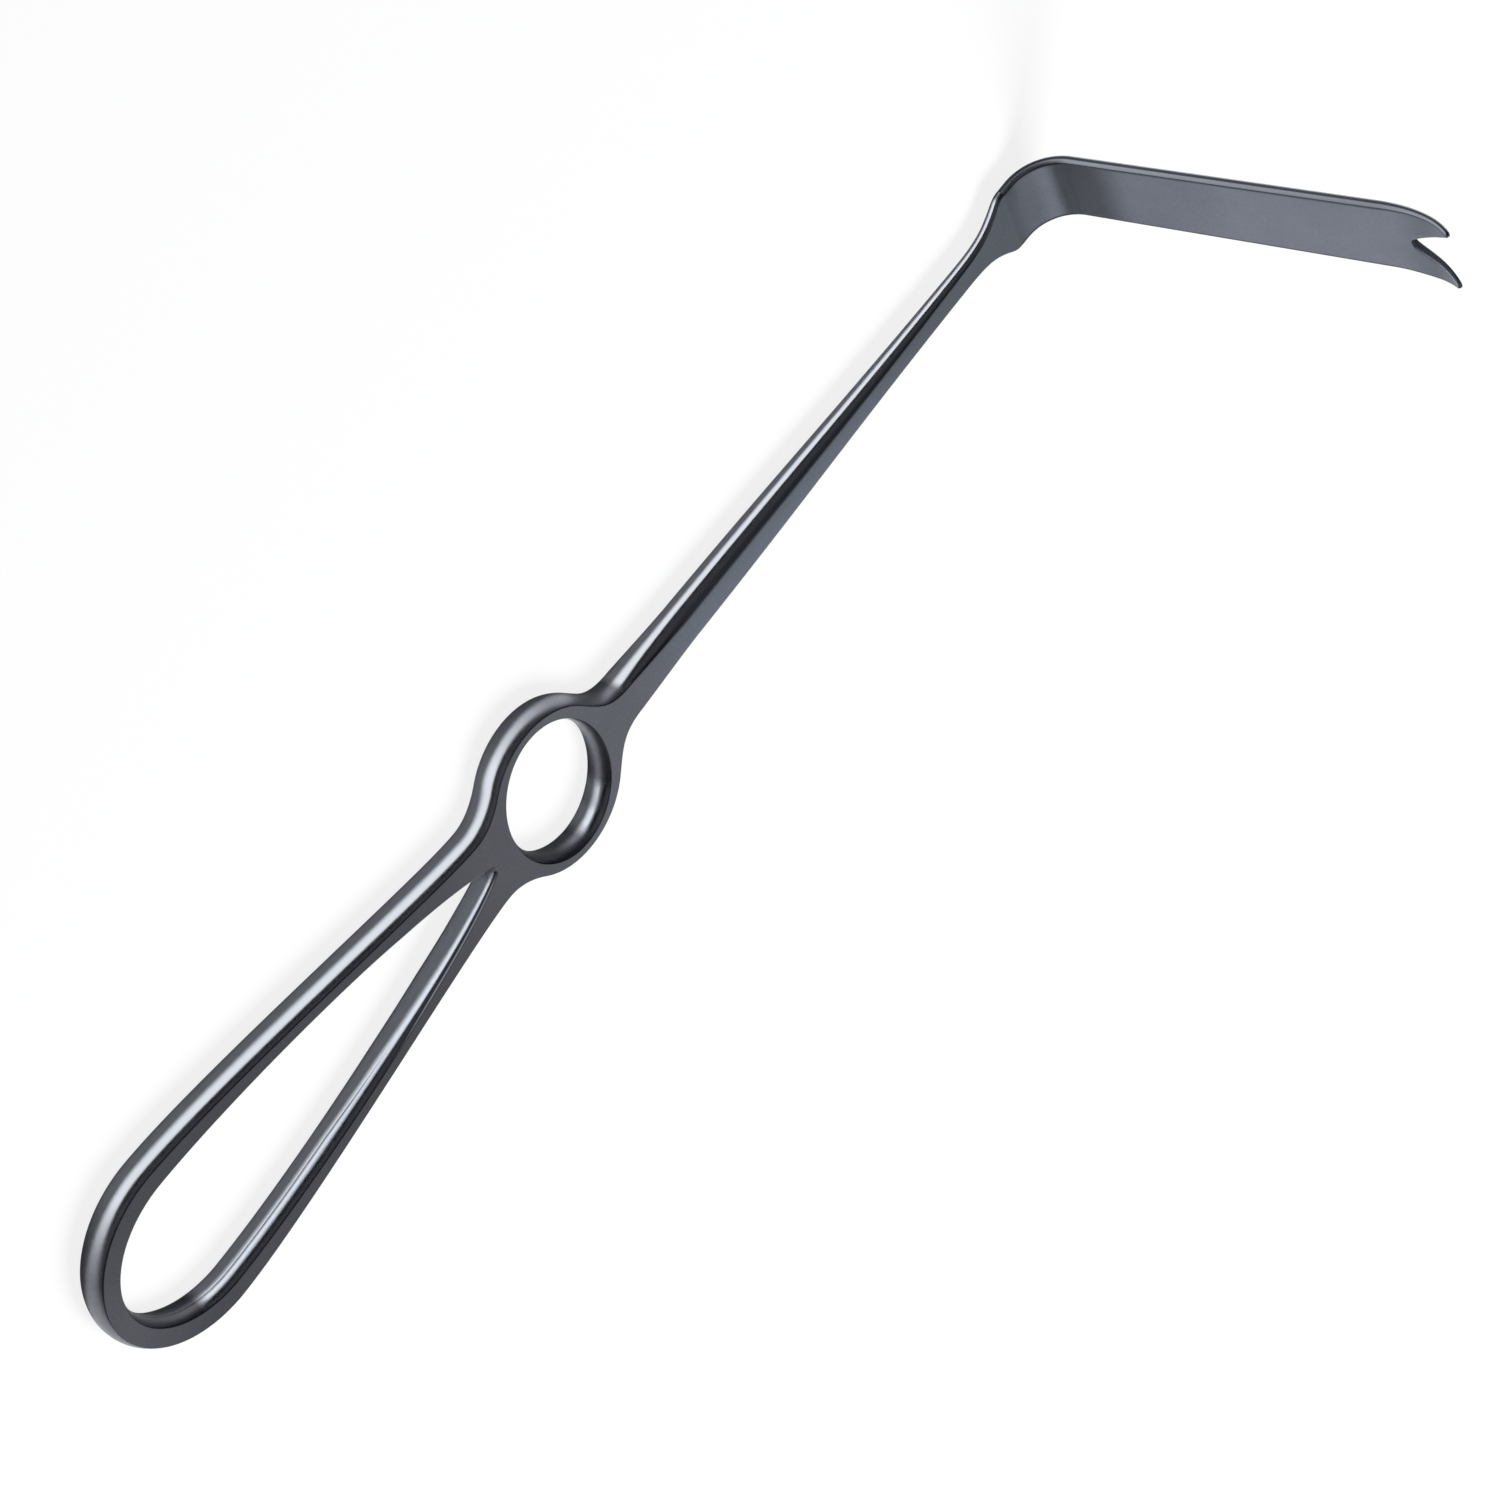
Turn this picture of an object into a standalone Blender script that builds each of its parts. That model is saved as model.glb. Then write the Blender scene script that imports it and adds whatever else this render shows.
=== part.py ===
"""Forked ramus retractor: a bent blade with a swallow-tail end, a tapered shank, a finger ring
and an open loop handle, lying on the flat back of its handle with the blade standing up.

Every outline below is the edge of the flat front face, drawn on the +Y side only and mirrored.
X runs along the shank towards the blade from the centre of the finger ring, and Z is depth.
The sides bulge outwards from that edge by a crown, so no bar has a flat side."""
import math

import bmesh
import bpy
import numpy as np
from mathutils import Vector
from mathutils.geometry import interpolate_bezier

MM = 0.001

# Handle bar, shared by the finger ring and the loop
HANDLE_DEPTH = 4.5 * MM
HANDLE_CROWN = 0.77 * MM

# Finger ring, an oval with its long way across the handle, round an oval hole
RING_LENGTH = 23.2 * MM
RING_WIDTH = 26.6 * MM
RING_HOLE_LENGTH = 19.1 * MM
RING_HOLE_WIDTH = 24.5 * MM

# Where the ring leaves its oval for the shank and for the loop, as distances from its centre
NECK_TURN_X = 9.1 * MM
CROTCH_TURN_X = 8.0 * MM
NECK_BLEND = 4.7 * MM
CROTCH_BLEND = 2.3 * MM

# Seams, as distances from the ring's centre: the shank's end and the loop's two bar ends
NECK_SEAM = 17.5 * MM
CROTCH_SEAM = 13.9 * MM
CROTCH_WIDTH = 12.45 * MM
CROTCH_FLARE = math.radians(3.3)
CROTCH_SLOT = 0.3 * MM

# Loop handle
LOOP_REACH = 91.85 * MM
LOOP_WIDTH = 31.05 * MM
BOW_BAR = 2.55 * MM
SHOULDER_BAR = 2.6 * MM
BOW_CENTRE_SHIFT = 0.8 * MM
LEG_BOW_REACH = 15.35 * MM
LEG_CROTCH_REACH = 6.85 * MM
GAP_BOW_REACH = 16.7 * MM
GAP_CROTCH_REACH = 9.2 * MM
GAP_CROTCH_ANGLE = math.radians(33.3)

# Shank
SHANK_WIDTH = 6.75 * MM
SHANK_ROUNDING = 0.67
SHANK_ROUND_FROM = 12.0 * MM
WAIST_X = 94.3 * MM
WAIST_WIDTH = 4.25 * MM
SHANK_START_REACH = 39.0 * MM
SHANK_WAIST_REACH = 32.4 * MM
DEPTH_START_REACH = 29.5 * MM
DEPTH_END_REACH = 18.1 * MM
DEPTH_END_RISE = 0.49 * MM

# Flare, from the waist to the shoulder where the blade strip is joined
SHOULDER_X = 107.5 * MM
SHOULDER_RUN = 2.1 * MM
SHOULDER_STEP = 0.85 * MM
FLARE_START_REACH = 6.0 * MM
FLARE_END_REACH = 4.1 * MM
FLARE_ANGLE = math.radians(36.0)
SHOULDER_REACH = 0.8 * MM
SHOULDER_ROUNDING = 0.36

# Blade strip, curled towards the handle at its end and hooked at its tips
BLADE_ROOT_WIDTH = 11.55 * MM
BLADE_END_WIDTH = 13.1 * MM
BLADE_ROOT_DEPTH = 1.35 * MM
BLADE_DEPTH = 1.45 * MM
BLADE_TIP_DEPTH = 0.7 * MM
BLADE_LENGTH = 58.3 * MM
ELBOW_RUN_IN = 1.85 * MM
ELBOW_RADIUS = 7.5 * MM
BLADE_TURN = math.radians(77.7)
CURL_LENGTH = 7.5 * MM
CURL_RADIUS = 28.5 * MM
HOOK_LENGTH = 4.3 * MM
HOOK_RADIUS = 10.35 * MM

# Swallow-tail
NOTCH_DEPTH = 7.8 * MM
NOTCH_ROOT_REACH = 0.8 * MM
NOTCH_TIP_REACH = 3.2 * MM
NOTCH_TIP_ANGLE = math.radians(42.5)
TINE_TIP_Y = 5.3 * MM
TINE_TIP_WIDTH = 0.65 * MM
TINE_TAPER = 7.5 * MM
TINE_TAPER_REACH = 3.0 * MM
TINE_TIP_REACH = 0.9 * MM
TINE_TIP_ANGLE = math.radians(-30.5)

# Fineness of the mesh
SIDE_STEPS = 6
EDGE_STEPS = 4
BOW_STEPS = 18
LEG_STEPS = 26
RING_STEPS = 26
BLEND_STEPS = 8
SEAM_STEPS = 2
SHANK_STEP = 3.0 * MM
FLARE_STEPS = 12
ELBOW_STEPS = 14
STRIP_STEPS = 4
FORK_STEPS = 26
CURVE_SAMPLES = 60
MERGE_DISTANCE = 0.01 * MM
SHARP_ANGLE = math.radians(40.0)

STEEL_FACE = (0.095, 0.100, 0.110, 1.0)
STEEL_BRIGHT = (0.42, 0.44, 0.47, 1.0)
STEEL_BLADE = (0.165, 0.180, 0.205, 1.0)


def clear_scene():
    for old in list(bpy.data.objects):
        bpy.data.objects.remove(old, do_unlink=True)


def steel(name, colour, roughness):
    """A bare steel finish with one colour and roughness."""
    material = bpy.data.materials.new(name)
    material.use_nodes = True
    shader = material.node_tree.nodes["Principled BSDF"]
    shader.inputs["Base Color"].default_value = colour
    shader.inputs["Metallic"].default_value = 1.0
    shader.inputs["Roughness"].default_value = roughness
    return material


def towards(point, angle, distance):
    """The point at a distance from another, along an angle."""
    return (point[0] + distance * math.cos(angle), point[1] + distance * math.sin(angle))


def bezier(start, start_handle, end_handle, end, steps):
    """Points along a cubic curve, with its two ends."""
    ends = [Vector((*p, 0.0)) for p in (start, start_handle, end_handle, end)]
    return [(p.x, p.y) for p in interpolate_bezier(*ends, steps + 1)]


def oval(centre_x, reach_x, reach_y, start, end, steps):
    """Points along an oval from one parameter angle to another."""
    angles = np.linspace(start, end, steps + 1)
    return [(centre_x + reach_x * math.cos(a), reach_y * math.sin(a)) for a in angles]


def joined(*runs):
    """Runs of points end to end, with each shared end kept once."""
    points = list(runs[0])
    for run in runs[1:]:
        points.extend(run[1:])
    return points


def normals(points, first=None, last=None):
    """The unit normal on the left of the way along a line of points."""
    result = []
    for i in range(len(points)):
        before = Vector(points[max(i - 1, 0)])
        after = Vector(points[min(i + 1, len(points) - 1)])
        way = (after - before).normalized()
        result.append((-way.y, way.x))
    if first is not None:
        result[0] = first
    if last is not None:
        result[-1] = last
    return result


def value_at(points, x):
    """The height of a line of points at x."""
    xs = [p[0] for p in points]
    ys = [p[1] for p in points]
    return float(np.interp(x, xs, ys))


def side_points(point, normal, half_depth, crown, steps=SIDE_STEPS):
    """One crowned side of a bar, from its front edge over the bulge to its back edge."""
    points = []
    for k in range(steps + 1):
        angle = math.pi / 2 - math.pi * k / steps
        out = crown * max(math.cos(angle), 0.0)
        points.append((point[0] + normal[0] * out, point[1] + normal[1] * out, half_depth * math.sin(angle)))
    return points


def bar_section(outer, outer_normal, outer_crown, inner, inner_normal, inner_crown):
    """A closed section of the handle bar between two edges of its front face."""
    half_depth = HANDLE_DEPTH / 2
    outside = side_points(outer, outer_normal, half_depth, outer_crown)
    inside = side_points(inner, inner_normal, half_depth, inner_crown)
    return outside + inside[::-1]


def skin(bm, sections, ring):
    """Faces between neighbouring sections. A ring section closes on itself."""
    rows = [[bm.verts.new(p) for p in section] for section in sections]
    for near, far in zip(rows[:-1], rows[1:]):
        count = len(near)
        for i in range(count if ring else count - 1):
            j = (i + 1) % count
            bm.faces.new((near[i], near[j], far[j], far[i]))
    return rows


def mirrored_solid(name, bm, material, collection):
    """The object made of a half that is open at the plane Y = 0 and its mirror image."""
    bmesh.ops.remove_doubles(bm, verts=bm.verts, dist=MERGE_DISTANCE / 10)
    bmesh.ops.recalc_face_normals(bm, faces=bm.faces)
    mesh = bpy.data.meshes.new(name)
    bm.to_mesh(mesh)
    bm.free()
    mesh.materials.append(material)
    mesh.shade_smooth()
    mesh.set_sharp_from_angle(angle=SHARP_ANGLE)
    body = bpy.data.objects.new(name, mesh)
    collection.objects.link(body)
    mirror = body.modifiers.new("other_half", "MIRROR")
    mirror.use_axis = (False, True, False)
    mirror.use_clip = True
    mirror.merge_threshold = MERGE_DISTANCE
    return body


def ring_angle(x):
    """The parameter angle of the ring's outer oval at a distance along X."""
    return math.acos(x / (RING_LENGTH / 2))


def ring_way(angle):
    """The direction of travel along the ring's outer oval as its parameter angle grows."""
    return math.atan2(RING_WIDTH / 2 * math.cos(angle), -RING_LENGTH / 2 * math.sin(angle))


def neck_half_width():
    return SHANK_WIDTH / 2 - HANDLE_CROWN


def ring_outline():
    """The ring's outer edge from the shank seam round to the crotch seam."""
    leave = ring_angle(NECK_TURN_X)
    arrive = ring_angle(-CROTCH_TURN_X)
    around = oval(0.0, RING_LENGTH / 2, RING_WIDTH / 2, leave, arrive, RING_STEPS)
    neck = (NECK_SEAM, neck_half_width())
    crotch = (-CROTCH_SEAM, CROTCH_WIDTH / 2)
    from_neck = bezier(neck, towards(neck, math.pi, NECK_BLEND),
                       towards(around[0], ring_way(leave), -NECK_BLEND), around[0], BLEND_STEPS)
    to_crotch = bezier(around[-1], towards(around[-1], ring_way(arrive), CROTCH_BLEND),
                       towards(crotch, CROTCH_FLARE, CROTCH_BLEND), crotch, BLEND_STEPS)
    return joined(from_neck, around, to_crotch)


def hole_edge(outer):
    """The point and inward normal on the ring's hole in line with a point of the outer edge."""
    reach_x = RING_HOLE_LENGTH / 2
    reach_y = RING_HOLE_WIDTH / 2
    angle = math.atan2(outer[1] / reach_y, outer[0] / reach_x)
    point = (reach_x * math.cos(angle), reach_y * math.sin(angle))
    normal = Vector((-math.cos(angle) / reach_x, -math.sin(angle) / reach_y)).normalized()
    return point, (normal.x, normal.y)


def make_finger_ring(collection):
    """The finger ring with its two flat seams, lofted round the hole as one bar of changing width."""
    outline = ring_outline()
    outward = [(-x, -y) for x, y in normals(outline, first=(0.0, -1.0), last=(0.0, -1.0))]
    bm = bmesh.new()
    sections = []

    def add(outer, normal, crown):
        inner, inward = hole_edge(outer)
        sections.append(bar_section(outer, normal, crown, inner, inward, HANDLE_CROWN))

    for k in range(SEAM_STEPS):
        add((NECK_SEAM, neck_half_width() * k / SEAM_STEPS), (1.0, 0.0), 0.0)
    for point, normal in zip(outline, outward):
        add(point, normal, HANDLE_CROWN)
    for k in range(SEAM_STEPS, 0, -1):
        add((-CROTCH_SEAM, CROTCH_WIDTH / 2 * (k - 1) / SEAM_STEPS), (-1.0, 0.0), 0.0)
    skin(bm, sections, ring=True)
    return mirrored_solid("finger_ring", bm, steel("ring_steel", STEEL_FACE, 0.33), collection)


def loop_outer():
    """The loop's outer edge from the end of the bow to the crotch seam."""
    radius = LOOP_WIDTH / 2
    centre = -(LOOP_REACH - radius)
    bow = oval(centre, radius, radius, math.pi, math.pi / 2, BOW_STEPS)
    crotch = (-CROTCH_SEAM, CROTCH_WIDTH / 2)
    leg = bezier(bow[-1], towards(bow[-1], 0.0, LEG_BOW_REACH),
                 towards(crotch, CROTCH_FLARE, -LEG_CROTCH_REACH), crotch, LEG_STEPS)
    return joined(bow, leg)


def loop_gap():
    """The edge of the loop's opening from the end of the bow to its narrow end at the crotch."""
    centre = -(LOOP_REACH - LOOP_WIDTH / 2) + BOW_CENTRE_SHIFT
    reach_x = LOOP_REACH - BOW_BAR + centre
    bow = oval(centre, reach_x, LOOP_WIDTH / 2 - SHOULDER_BAR, math.pi, math.pi / 2, BOW_STEPS)
    crotch = (-CROTCH_SEAM, HANDLE_CROWN + CROTCH_SLOT / 2)
    side = bezier(bow[-1], towards(bow[-1], 0.0, GAP_BOW_REACH),
                  towards(crotch, math.pi - GAP_CROTCH_ANGLE, GAP_CROTCH_REACH / math.cos(GAP_CROTCH_ANGLE)),
                  crotch, LEG_STEPS)
    return joined(bow, side)


def make_loop_handle(collection):
    """The open loop: one bar bent round the bow, whose two ends meet the ring side by side."""
    outer = loop_outer()
    inner = loop_gap()
    outward = normals(outer, first=(-1.0, 0.0), last=(0.0, 1.0))
    inward = [(-x, -y) for x, y in normals(inner, first=(-1.0, 0.0), last=(0.0, 1.0))]
    bm = bmesh.new()
    sections = [bar_section(outer[i], outward[i], HANDLE_CROWN, inner[i], inward[i], HANDLE_CROWN)
                for i in range(len(outer))]
    rows = skin(bm, sections, ring=True)
    bm.faces.new(rows[-1])
    return mirrored_solid("loop_handle", bm, steel("loop_steel", STEEL_BRIGHT, 0.22), collection)


def shank_side():
    """The widest line of the shank from the neck seam over the waist and the flare to the shoulder."""
    neck = (NECK_SEAM, SHANK_WIDTH / 2)
    waist = (WAIST_X, WAIST_WIDTH / 2)
    shoulder = (SHOULDER_X, BLADE_ROOT_WIDTH / 2)
    corner = (SHOULDER_X - SHOULDER_RUN, BLADE_ROOT_WIDTH / 2 - SHOULDER_STEP)
    taper_steps = max(4, round((WAIST_X - NECK_SEAM) / SHANK_STEP))
    taper = bezier(neck, towards(neck, 0.0, SHANK_START_REACH),
                   towards(waist, math.pi, SHANK_WAIST_REACH), waist, taper_steps)
    flare = bezier(waist, towards(waist, 0.0, FLARE_START_REACH),
                   towards(corner, FLARE_ANGLE, -FLARE_END_REACH), corner, FLARE_STEPS)
    rounding = bezier(corner, towards(corner, FLARE_ANGLE, SHOULDER_REACH),
                      towards(shoulder, math.pi, SHOULDER_REACH), shoulder, EDGE_STEPS)
    return joined(taper, flare, rounding)


def shank_depth():
    """Half the shank's depth from the neck seam to the shoulder."""
    start = (NECK_SEAM, HANDLE_DEPTH / 2)
    end = (SHOULDER_X, BLADE_ROOT_DEPTH / 2)
    return bezier(start, towards(start, 0.0, DEPTH_START_REACH),
                  (end[0] - DEPTH_END_REACH, end[1] + DEPTH_END_RISE), end, CURVE_SAMPLES)


def shank_rounding():
    """The crown's share of half the depth: flat-sided as the ring at the neck, fuller along the shank."""
    neck = HANDLE_CROWN / (HANDLE_DEPTH / 2)
    return [(NECK_SEAM, neck), (NECK_SEAM + SHANK_ROUND_FROM, SHANK_ROUNDING),
            (WAIST_X, SHANK_ROUNDING), (SHOULDER_X, SHOULDER_ROUNDING)]


def half_section(inner_y, outer_y, half_depth, crown, steps):
    """Half a section across Y: the front face, one crowned side and the back face."""
    edge = (0.0, outer_y - crown)
    side = side_points(edge, (0.0, 1.0), half_depth, crown, steps)
    front = (0.0, inner_y, half_depth)
    back = (0.0, inner_y, -half_depth)
    return [front] + side + [back]


def make_shank(collection):
    """The shank, lofted through sections that change from a crowned bar to a thin flat strip."""
    side = shank_side()
    depth = shank_depth()
    rounding = shank_rounding()
    bm = bmesh.new()
    sections = []
    for x, half_width in side:
        half_depth = value_at(depth, x)
        crown = half_depth * value_at(rounding, x)
        section = half_section(0.0, half_width, half_depth, crown, SIDE_STEPS)
        sections.append([(x, y, z) for _, y, z in section])
    rows = skin(bm, sections, ring=False)
    bm.faces.new(rows[0])
    bm.faces.new(rows[-1])
    return mirrored_solid("shank", bm, steel("shank_steel", STEEL_FACE, 0.28), collection)


def blade_runs():
    """The blade's middle line as stretches of length and turn: run-in, elbow, strip, curl and hook."""
    return [(ELBOW_RUN_IN, 0.0),
            (ELBOW_RADIUS * BLADE_TURN, BLADE_TURN),
            (BLADE_LENGTH - CURL_LENGTH - HOOK_LENGTH, 0.0),
            (CURL_LENGTH, CURL_LENGTH / CURL_RADIUS),
            (HOOK_LENGTH, HOOK_LENGTH / HOOK_RADIUS)]


def blade_place(travel):
    """The middle line's X, Z and heading at a distance along the strip from the shoulder."""
    x, z, heading = SHOULDER_X, 0.0, 0.0
    for length, turn in blade_runs():
        part = min(max(travel, 0.0), length)
        travel -= length
        bend = turn * part / length
        chord = part if bend == 0.0 else 2 * part / bend * math.sin(bend / 2)
        x += chord * math.cos(heading + bend / 2)
        z += chord * math.sin(heading + bend / 2)
        heading += bend
    return x, z, heading


def strip_length():
    return sum(length for length, _ in blade_runs())


def blade_outer():
    """Half the strip's width against distance from the shoulder, with the tine's tapered outside."""
    end = strip_length()
    tip = (end, TINE_TIP_Y + TINE_TIP_WIDTH / 2)
    start = (end - TINE_TAPER, BLADE_END_WIDTH / 2)
    taper = bezier(start, towards(start, 0.0, TINE_TAPER_REACH),
                   towards(tip, TINE_TIP_ANGLE, -TINE_TIP_REACH), tip, CURVE_SAMPLES)
    return [(0.0, BLADE_ROOT_WIDTH / 2)] + taper


def blade_notch():
    """The tine's inside against distance from the shoulder, from the notch's round root to its tip."""
    end = strip_length()
    root = (end - NOTCH_DEPTH, 0.0)
    tip = (end, TINE_TIP_Y - TINE_TIP_WIDTH / 2)
    return bezier(root, towards(root, math.pi / 2, NOTCH_ROOT_REACH),
                  towards(tip, NOTCH_TIP_ANGLE, -NOTCH_TIP_REACH), tip, CURVE_SAMPLES)


def blade_depth():
    """The strip's full depth against distance from the shoulder."""
    end = strip_length()
    elbow_end = ELBOW_RUN_IN + ELBOW_RADIUS * BLADE_TURN
    return [(0.0, BLADE_ROOT_DEPTH), (elbow_end, BLADE_DEPTH),
            (end - HOOK_LENGTH - CURL_LENGTH, BLADE_DEPTH), (end, BLADE_TIP_DEPTH)]


def blade_travels():
    """Distances from the shoulder at which the strip gets a section, closest in the bends."""
    end = strip_length()
    elbow_end = ELBOW_RUN_IN + ELBOW_RADIUS * BLADE_TURN
    root = end - NOTCH_DEPTH
    curl = end - HOOK_LENGTH - CURL_LENGTH
    fork = root + NOTCH_DEPTH * (np.linspace(0.0, 1.0, FORK_STEPS + 1) ** 1.5)
    spans = [np.array([0.0]),
             np.linspace(ELBOW_RUN_IN, elbow_end, ELBOW_STEPS + 1),
             np.linspace(elbow_end, curl, STRIP_STEPS + 1)[1:],
             np.linspace(curl, root, STRIP_STEPS + 1)[1:-1],
             fork]
    return np.concatenate(spans), root


def make_blade(collection):
    """The blade: a flat strip with crowned edges, notched at the end, bent, curled and hooked."""
    outer = blade_outer()
    notch = blade_notch()
    depth = blade_depth()
    bm = bmesh.new()
    sections = []
    travels, root = blade_travels()
    for travel in travels:
        x, z, heading = blade_place(travel)
        half_depth = value_at(depth, travel) / 2
        inner_y = value_at(notch, travel) if travel > root else 0.0
        crown = half_depth * SHOULDER_ROUNDING
        section = half_section(inner_y, value_at(outer, travel), half_depth, crown, EDGE_STEPS)
        sections.append([(x - up * math.sin(heading), y, z + up * math.cos(heading))
                         for _, y, up in section])
    rows = skin(bm, sections, ring=False)
    bm.faces.new(rows[0])
    bm.faces.new(rows[-1])
    for near, far, travel in zip(rows[:-1], rows[1:], travels):
        if travel >= root:
            bm.faces.new((near[-1], near[0], far[0], far[-1]))
    return mirrored_solid("forked_blade", bm, steel("blade_steel", STEEL_BLADE, 0.3), collection)


def blade_reach():
    """The largest X of the blade's outer face."""
    travels, _ = blade_travels()
    reach = []
    for travel in travels:
        x, _, heading = blade_place(travel)
        reach.append(x + value_at(blade_depth(), travel) / 2 * math.sin(heading))
    return max(reach)


def lying_frame(pieces):
    """Puts the origin under the middle of the whole length, level with the handle's back face."""
    low = -(LOOP_REACH + HANDLE_CROWN)
    frame = bpy.data.objects.new("lying_on_its_back", None)
    frame.location = (-(low + blade_reach()) / 2, 0.0, HANDLE_DEPTH / 2)
    bpy.context.scene.collection.objects.link(frame)
    for piece in pieces:
        piece.parent = frame


def main():
    clear_scene()
    parts = bpy.data.collections.new("ramus_retractor")
    bpy.context.scene.collection.children.link(parts)
    pieces = [make_blade(parts), make_shank(parts), make_finger_ring(parts), make_loop_handle(parts)]
    lying_frame(pieces)
    bpy.context.view_layer.update()


main()
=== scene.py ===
"""Looks of a forked ramus retractor: satin faces and polished round sides on four lofted steel pieces.

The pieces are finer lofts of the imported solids. X runs along the shank to the blade, the blade
stands up along Z, and the instrument is the same on both sides of Y = 0."""

import math

import bmesh
import bpy
import numpy as np
from bpy.props import FloatProperty, FloatVectorProperty, PointerProperty
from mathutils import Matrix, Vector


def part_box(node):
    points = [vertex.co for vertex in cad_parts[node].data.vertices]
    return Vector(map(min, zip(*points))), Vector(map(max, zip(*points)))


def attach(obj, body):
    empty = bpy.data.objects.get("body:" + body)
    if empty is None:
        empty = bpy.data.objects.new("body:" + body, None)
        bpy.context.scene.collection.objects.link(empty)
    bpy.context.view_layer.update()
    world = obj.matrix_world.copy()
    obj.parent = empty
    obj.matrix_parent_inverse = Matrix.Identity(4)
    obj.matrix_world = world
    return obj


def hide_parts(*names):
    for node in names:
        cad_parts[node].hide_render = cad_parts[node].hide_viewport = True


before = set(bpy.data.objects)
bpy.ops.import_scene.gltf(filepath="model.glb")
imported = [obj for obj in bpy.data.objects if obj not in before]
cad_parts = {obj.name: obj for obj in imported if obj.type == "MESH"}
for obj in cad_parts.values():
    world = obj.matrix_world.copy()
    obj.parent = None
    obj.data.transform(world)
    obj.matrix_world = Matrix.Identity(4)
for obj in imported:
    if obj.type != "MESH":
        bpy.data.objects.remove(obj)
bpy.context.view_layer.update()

bl_info = {
    "name": "Ramus retractor looks",
    "version": (1, 0, 0),
    "blender": (4, 5, 0),
    "location": "View3D > Sidebar > Retractor",
    "description": "Dresses the packed retractor in satin and polished stainless steel",
    "category": "Object",
}

MM = 0.001
BODY = "root"

RING_LOW, RING_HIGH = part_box("finger_ring")
LOOP_LOW, LOOP_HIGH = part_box("loop_handle")
SHANK_LOW, SHANK_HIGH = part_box("shank")

# Places on the frame, in metres
CROTCH_SEAM = 13.9 * MM
NECK_SEAM = RING_HIGH.x - RING_LOW.x - CROTCH_SEAM
CENTRE_X = RING_LOW.x + CROTCH_SEAM
CENTRE_Z = RING_HIGH.z / 2
SHOULDER_X = SHANK_HIGH.x - CENTRE_X

# Outline of the ring and the loop
HANDLE_CROWN = 0.77 * MM
NECK_TURN_X = 9.1 * MM
CROTCH_TURN_X = 8.0 * MM
NECK_BLEND = 4.7 * MM
CROTCH_BLEND = 2.3 * MM
CROTCH_WIDTH = 12.45 * MM
CROTCH_FLARE = math.radians(3.3)
CROTCH_SLOT = 0.3 * MM
BOW_CENTRE_SHIFT = 0.8 * MM
LEG_BOW_REACH = 15.35 * MM
LEG_CROTCH_REACH = 6.85 * MM
GAP_BOW_REACH = 16.7 * MM
GAP_CROTCH_REACH = 9.2 * MM
GAP_CROTCH_ANGLE = math.radians(33.3)

# Outline of the shank
SHANK_ROUNDING = 0.67
SHANK_ROUND_FROM = 12.0 * MM
WAIST_X = 94.3 * MM
SHANK_START_REACH = 39.0 * MM
SHANK_WAIST_REACH = 32.4 * MM
DEPTH_START_REACH = 29.5 * MM
DEPTH_END_REACH = 18.1 * MM
DEPTH_END_RISE = 0.49 * MM
SHOULDER_RUN = 2.1 * MM
SHOULDER_STEP = 0.85 * MM
FLARE_START_REACH = 6.0 * MM
FLARE_END_REACH = 4.1 * MM
FLARE_ANGLE = math.radians(36.0)
SHOULDER_REACH = 0.8 * MM
SHOULDER_ROUNDING = 0.75

# Outline of the blade
ELBOW_RUN_IN = 1.85 * MM
NOTCH_ROOT_REACH = 0.8 * MM
NOTCH_TIP_REACH = 3.2 * MM
NOTCH_TIP_ANGLE = math.radians(42.5)
TINE_TIP_Y = 5.3 * MM
TINE_TIP_WIDTH = 0.65 * MM
TINE_TAPER = 7.5 * MM
TINE_TAPER_REACH = 3.0 * MM
TINE_TIP_REACH = 0.9 * MM
TINE_TIP_ANGLE = math.radians(-30.5)
TINE_TIP_ROUNDING = 0.32 * MM
TINE_TIP_TURN = math.radians(84.0)

# The notch's wall: its rounding, the most of the notch's half width and of the tine's width that this
# takes, the roundness that the wall counts as, and its line from the back face to the front face in
# shares of the rounding and of half the depth
NOTCH_ROUNDING = 0.4 * MM
NOTCH_ROUNDING_OF_NOTCH = 0.8
NOTCH_ROUNDING_OF_TINE = 0.5
# The wall counts as a side and takes the dressed colour: a dressed edge, and also painted light over the
# shade it mirrors
NOTCH_ROUNDNESS = 0.6
TINE_INSIDE = ((0.62, -0.97), (0.3, -0.87), (0.08, -0.68), (0.0, -0.4),
               (0.0, 0.0), (0.08, 0.38), (0.3, 0.72), (0.62, 0.92))

# Sides: one wide arc, with a small round corner at each face
CORNER_RADIUS = 0.13 * MM
CORNER_SHARE = 0.35
EDGE_ROUNDNESS = 0.06
GROOVE_PLACE = 0.45 * MM
GROOVE_REACH = 0.3 * MM
GROOVE_WIDTH = 0.1 * MM
GROOVE_CLEARANCE = 0.01

# Fineness of the lofts
SIDE_STEPS = 20
SHANK_SIDE_STEPS = 44
EDGE_STEPS = 10
CORNER_STEPS = 4
GROOVE_STEPS = 14
FACE_STEPS = 6
BOW_STEPS = 64
LEG_STEPS = 96
RING_STEPS = 96
BLEND_STEPS = 28
SEAM_STEPS = 4
TAPER_STEPS = 110
FLARE_STEPS = 44
ROUNDING_STEPS = 12
ELBOW_STEPS = 48
STRIP_STEPS = 24
CURL_STEPS = 16
FORK_STEPS = 64
FORK_CROWDING = 1.5
TIP_STEPS = 8
CURVE_SAMPLES = 240
SEAM_SHARE = 0.002
FACE_INSET = 0.06 * MM
BLADE_FACE_INSET = 0.35 * MM
NARROWEST_FACE = 0.001 * MM
MERGE_DISTANCE = 0.002 * MM
SHARP_ANGLE = math.radians(40.0)
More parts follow.
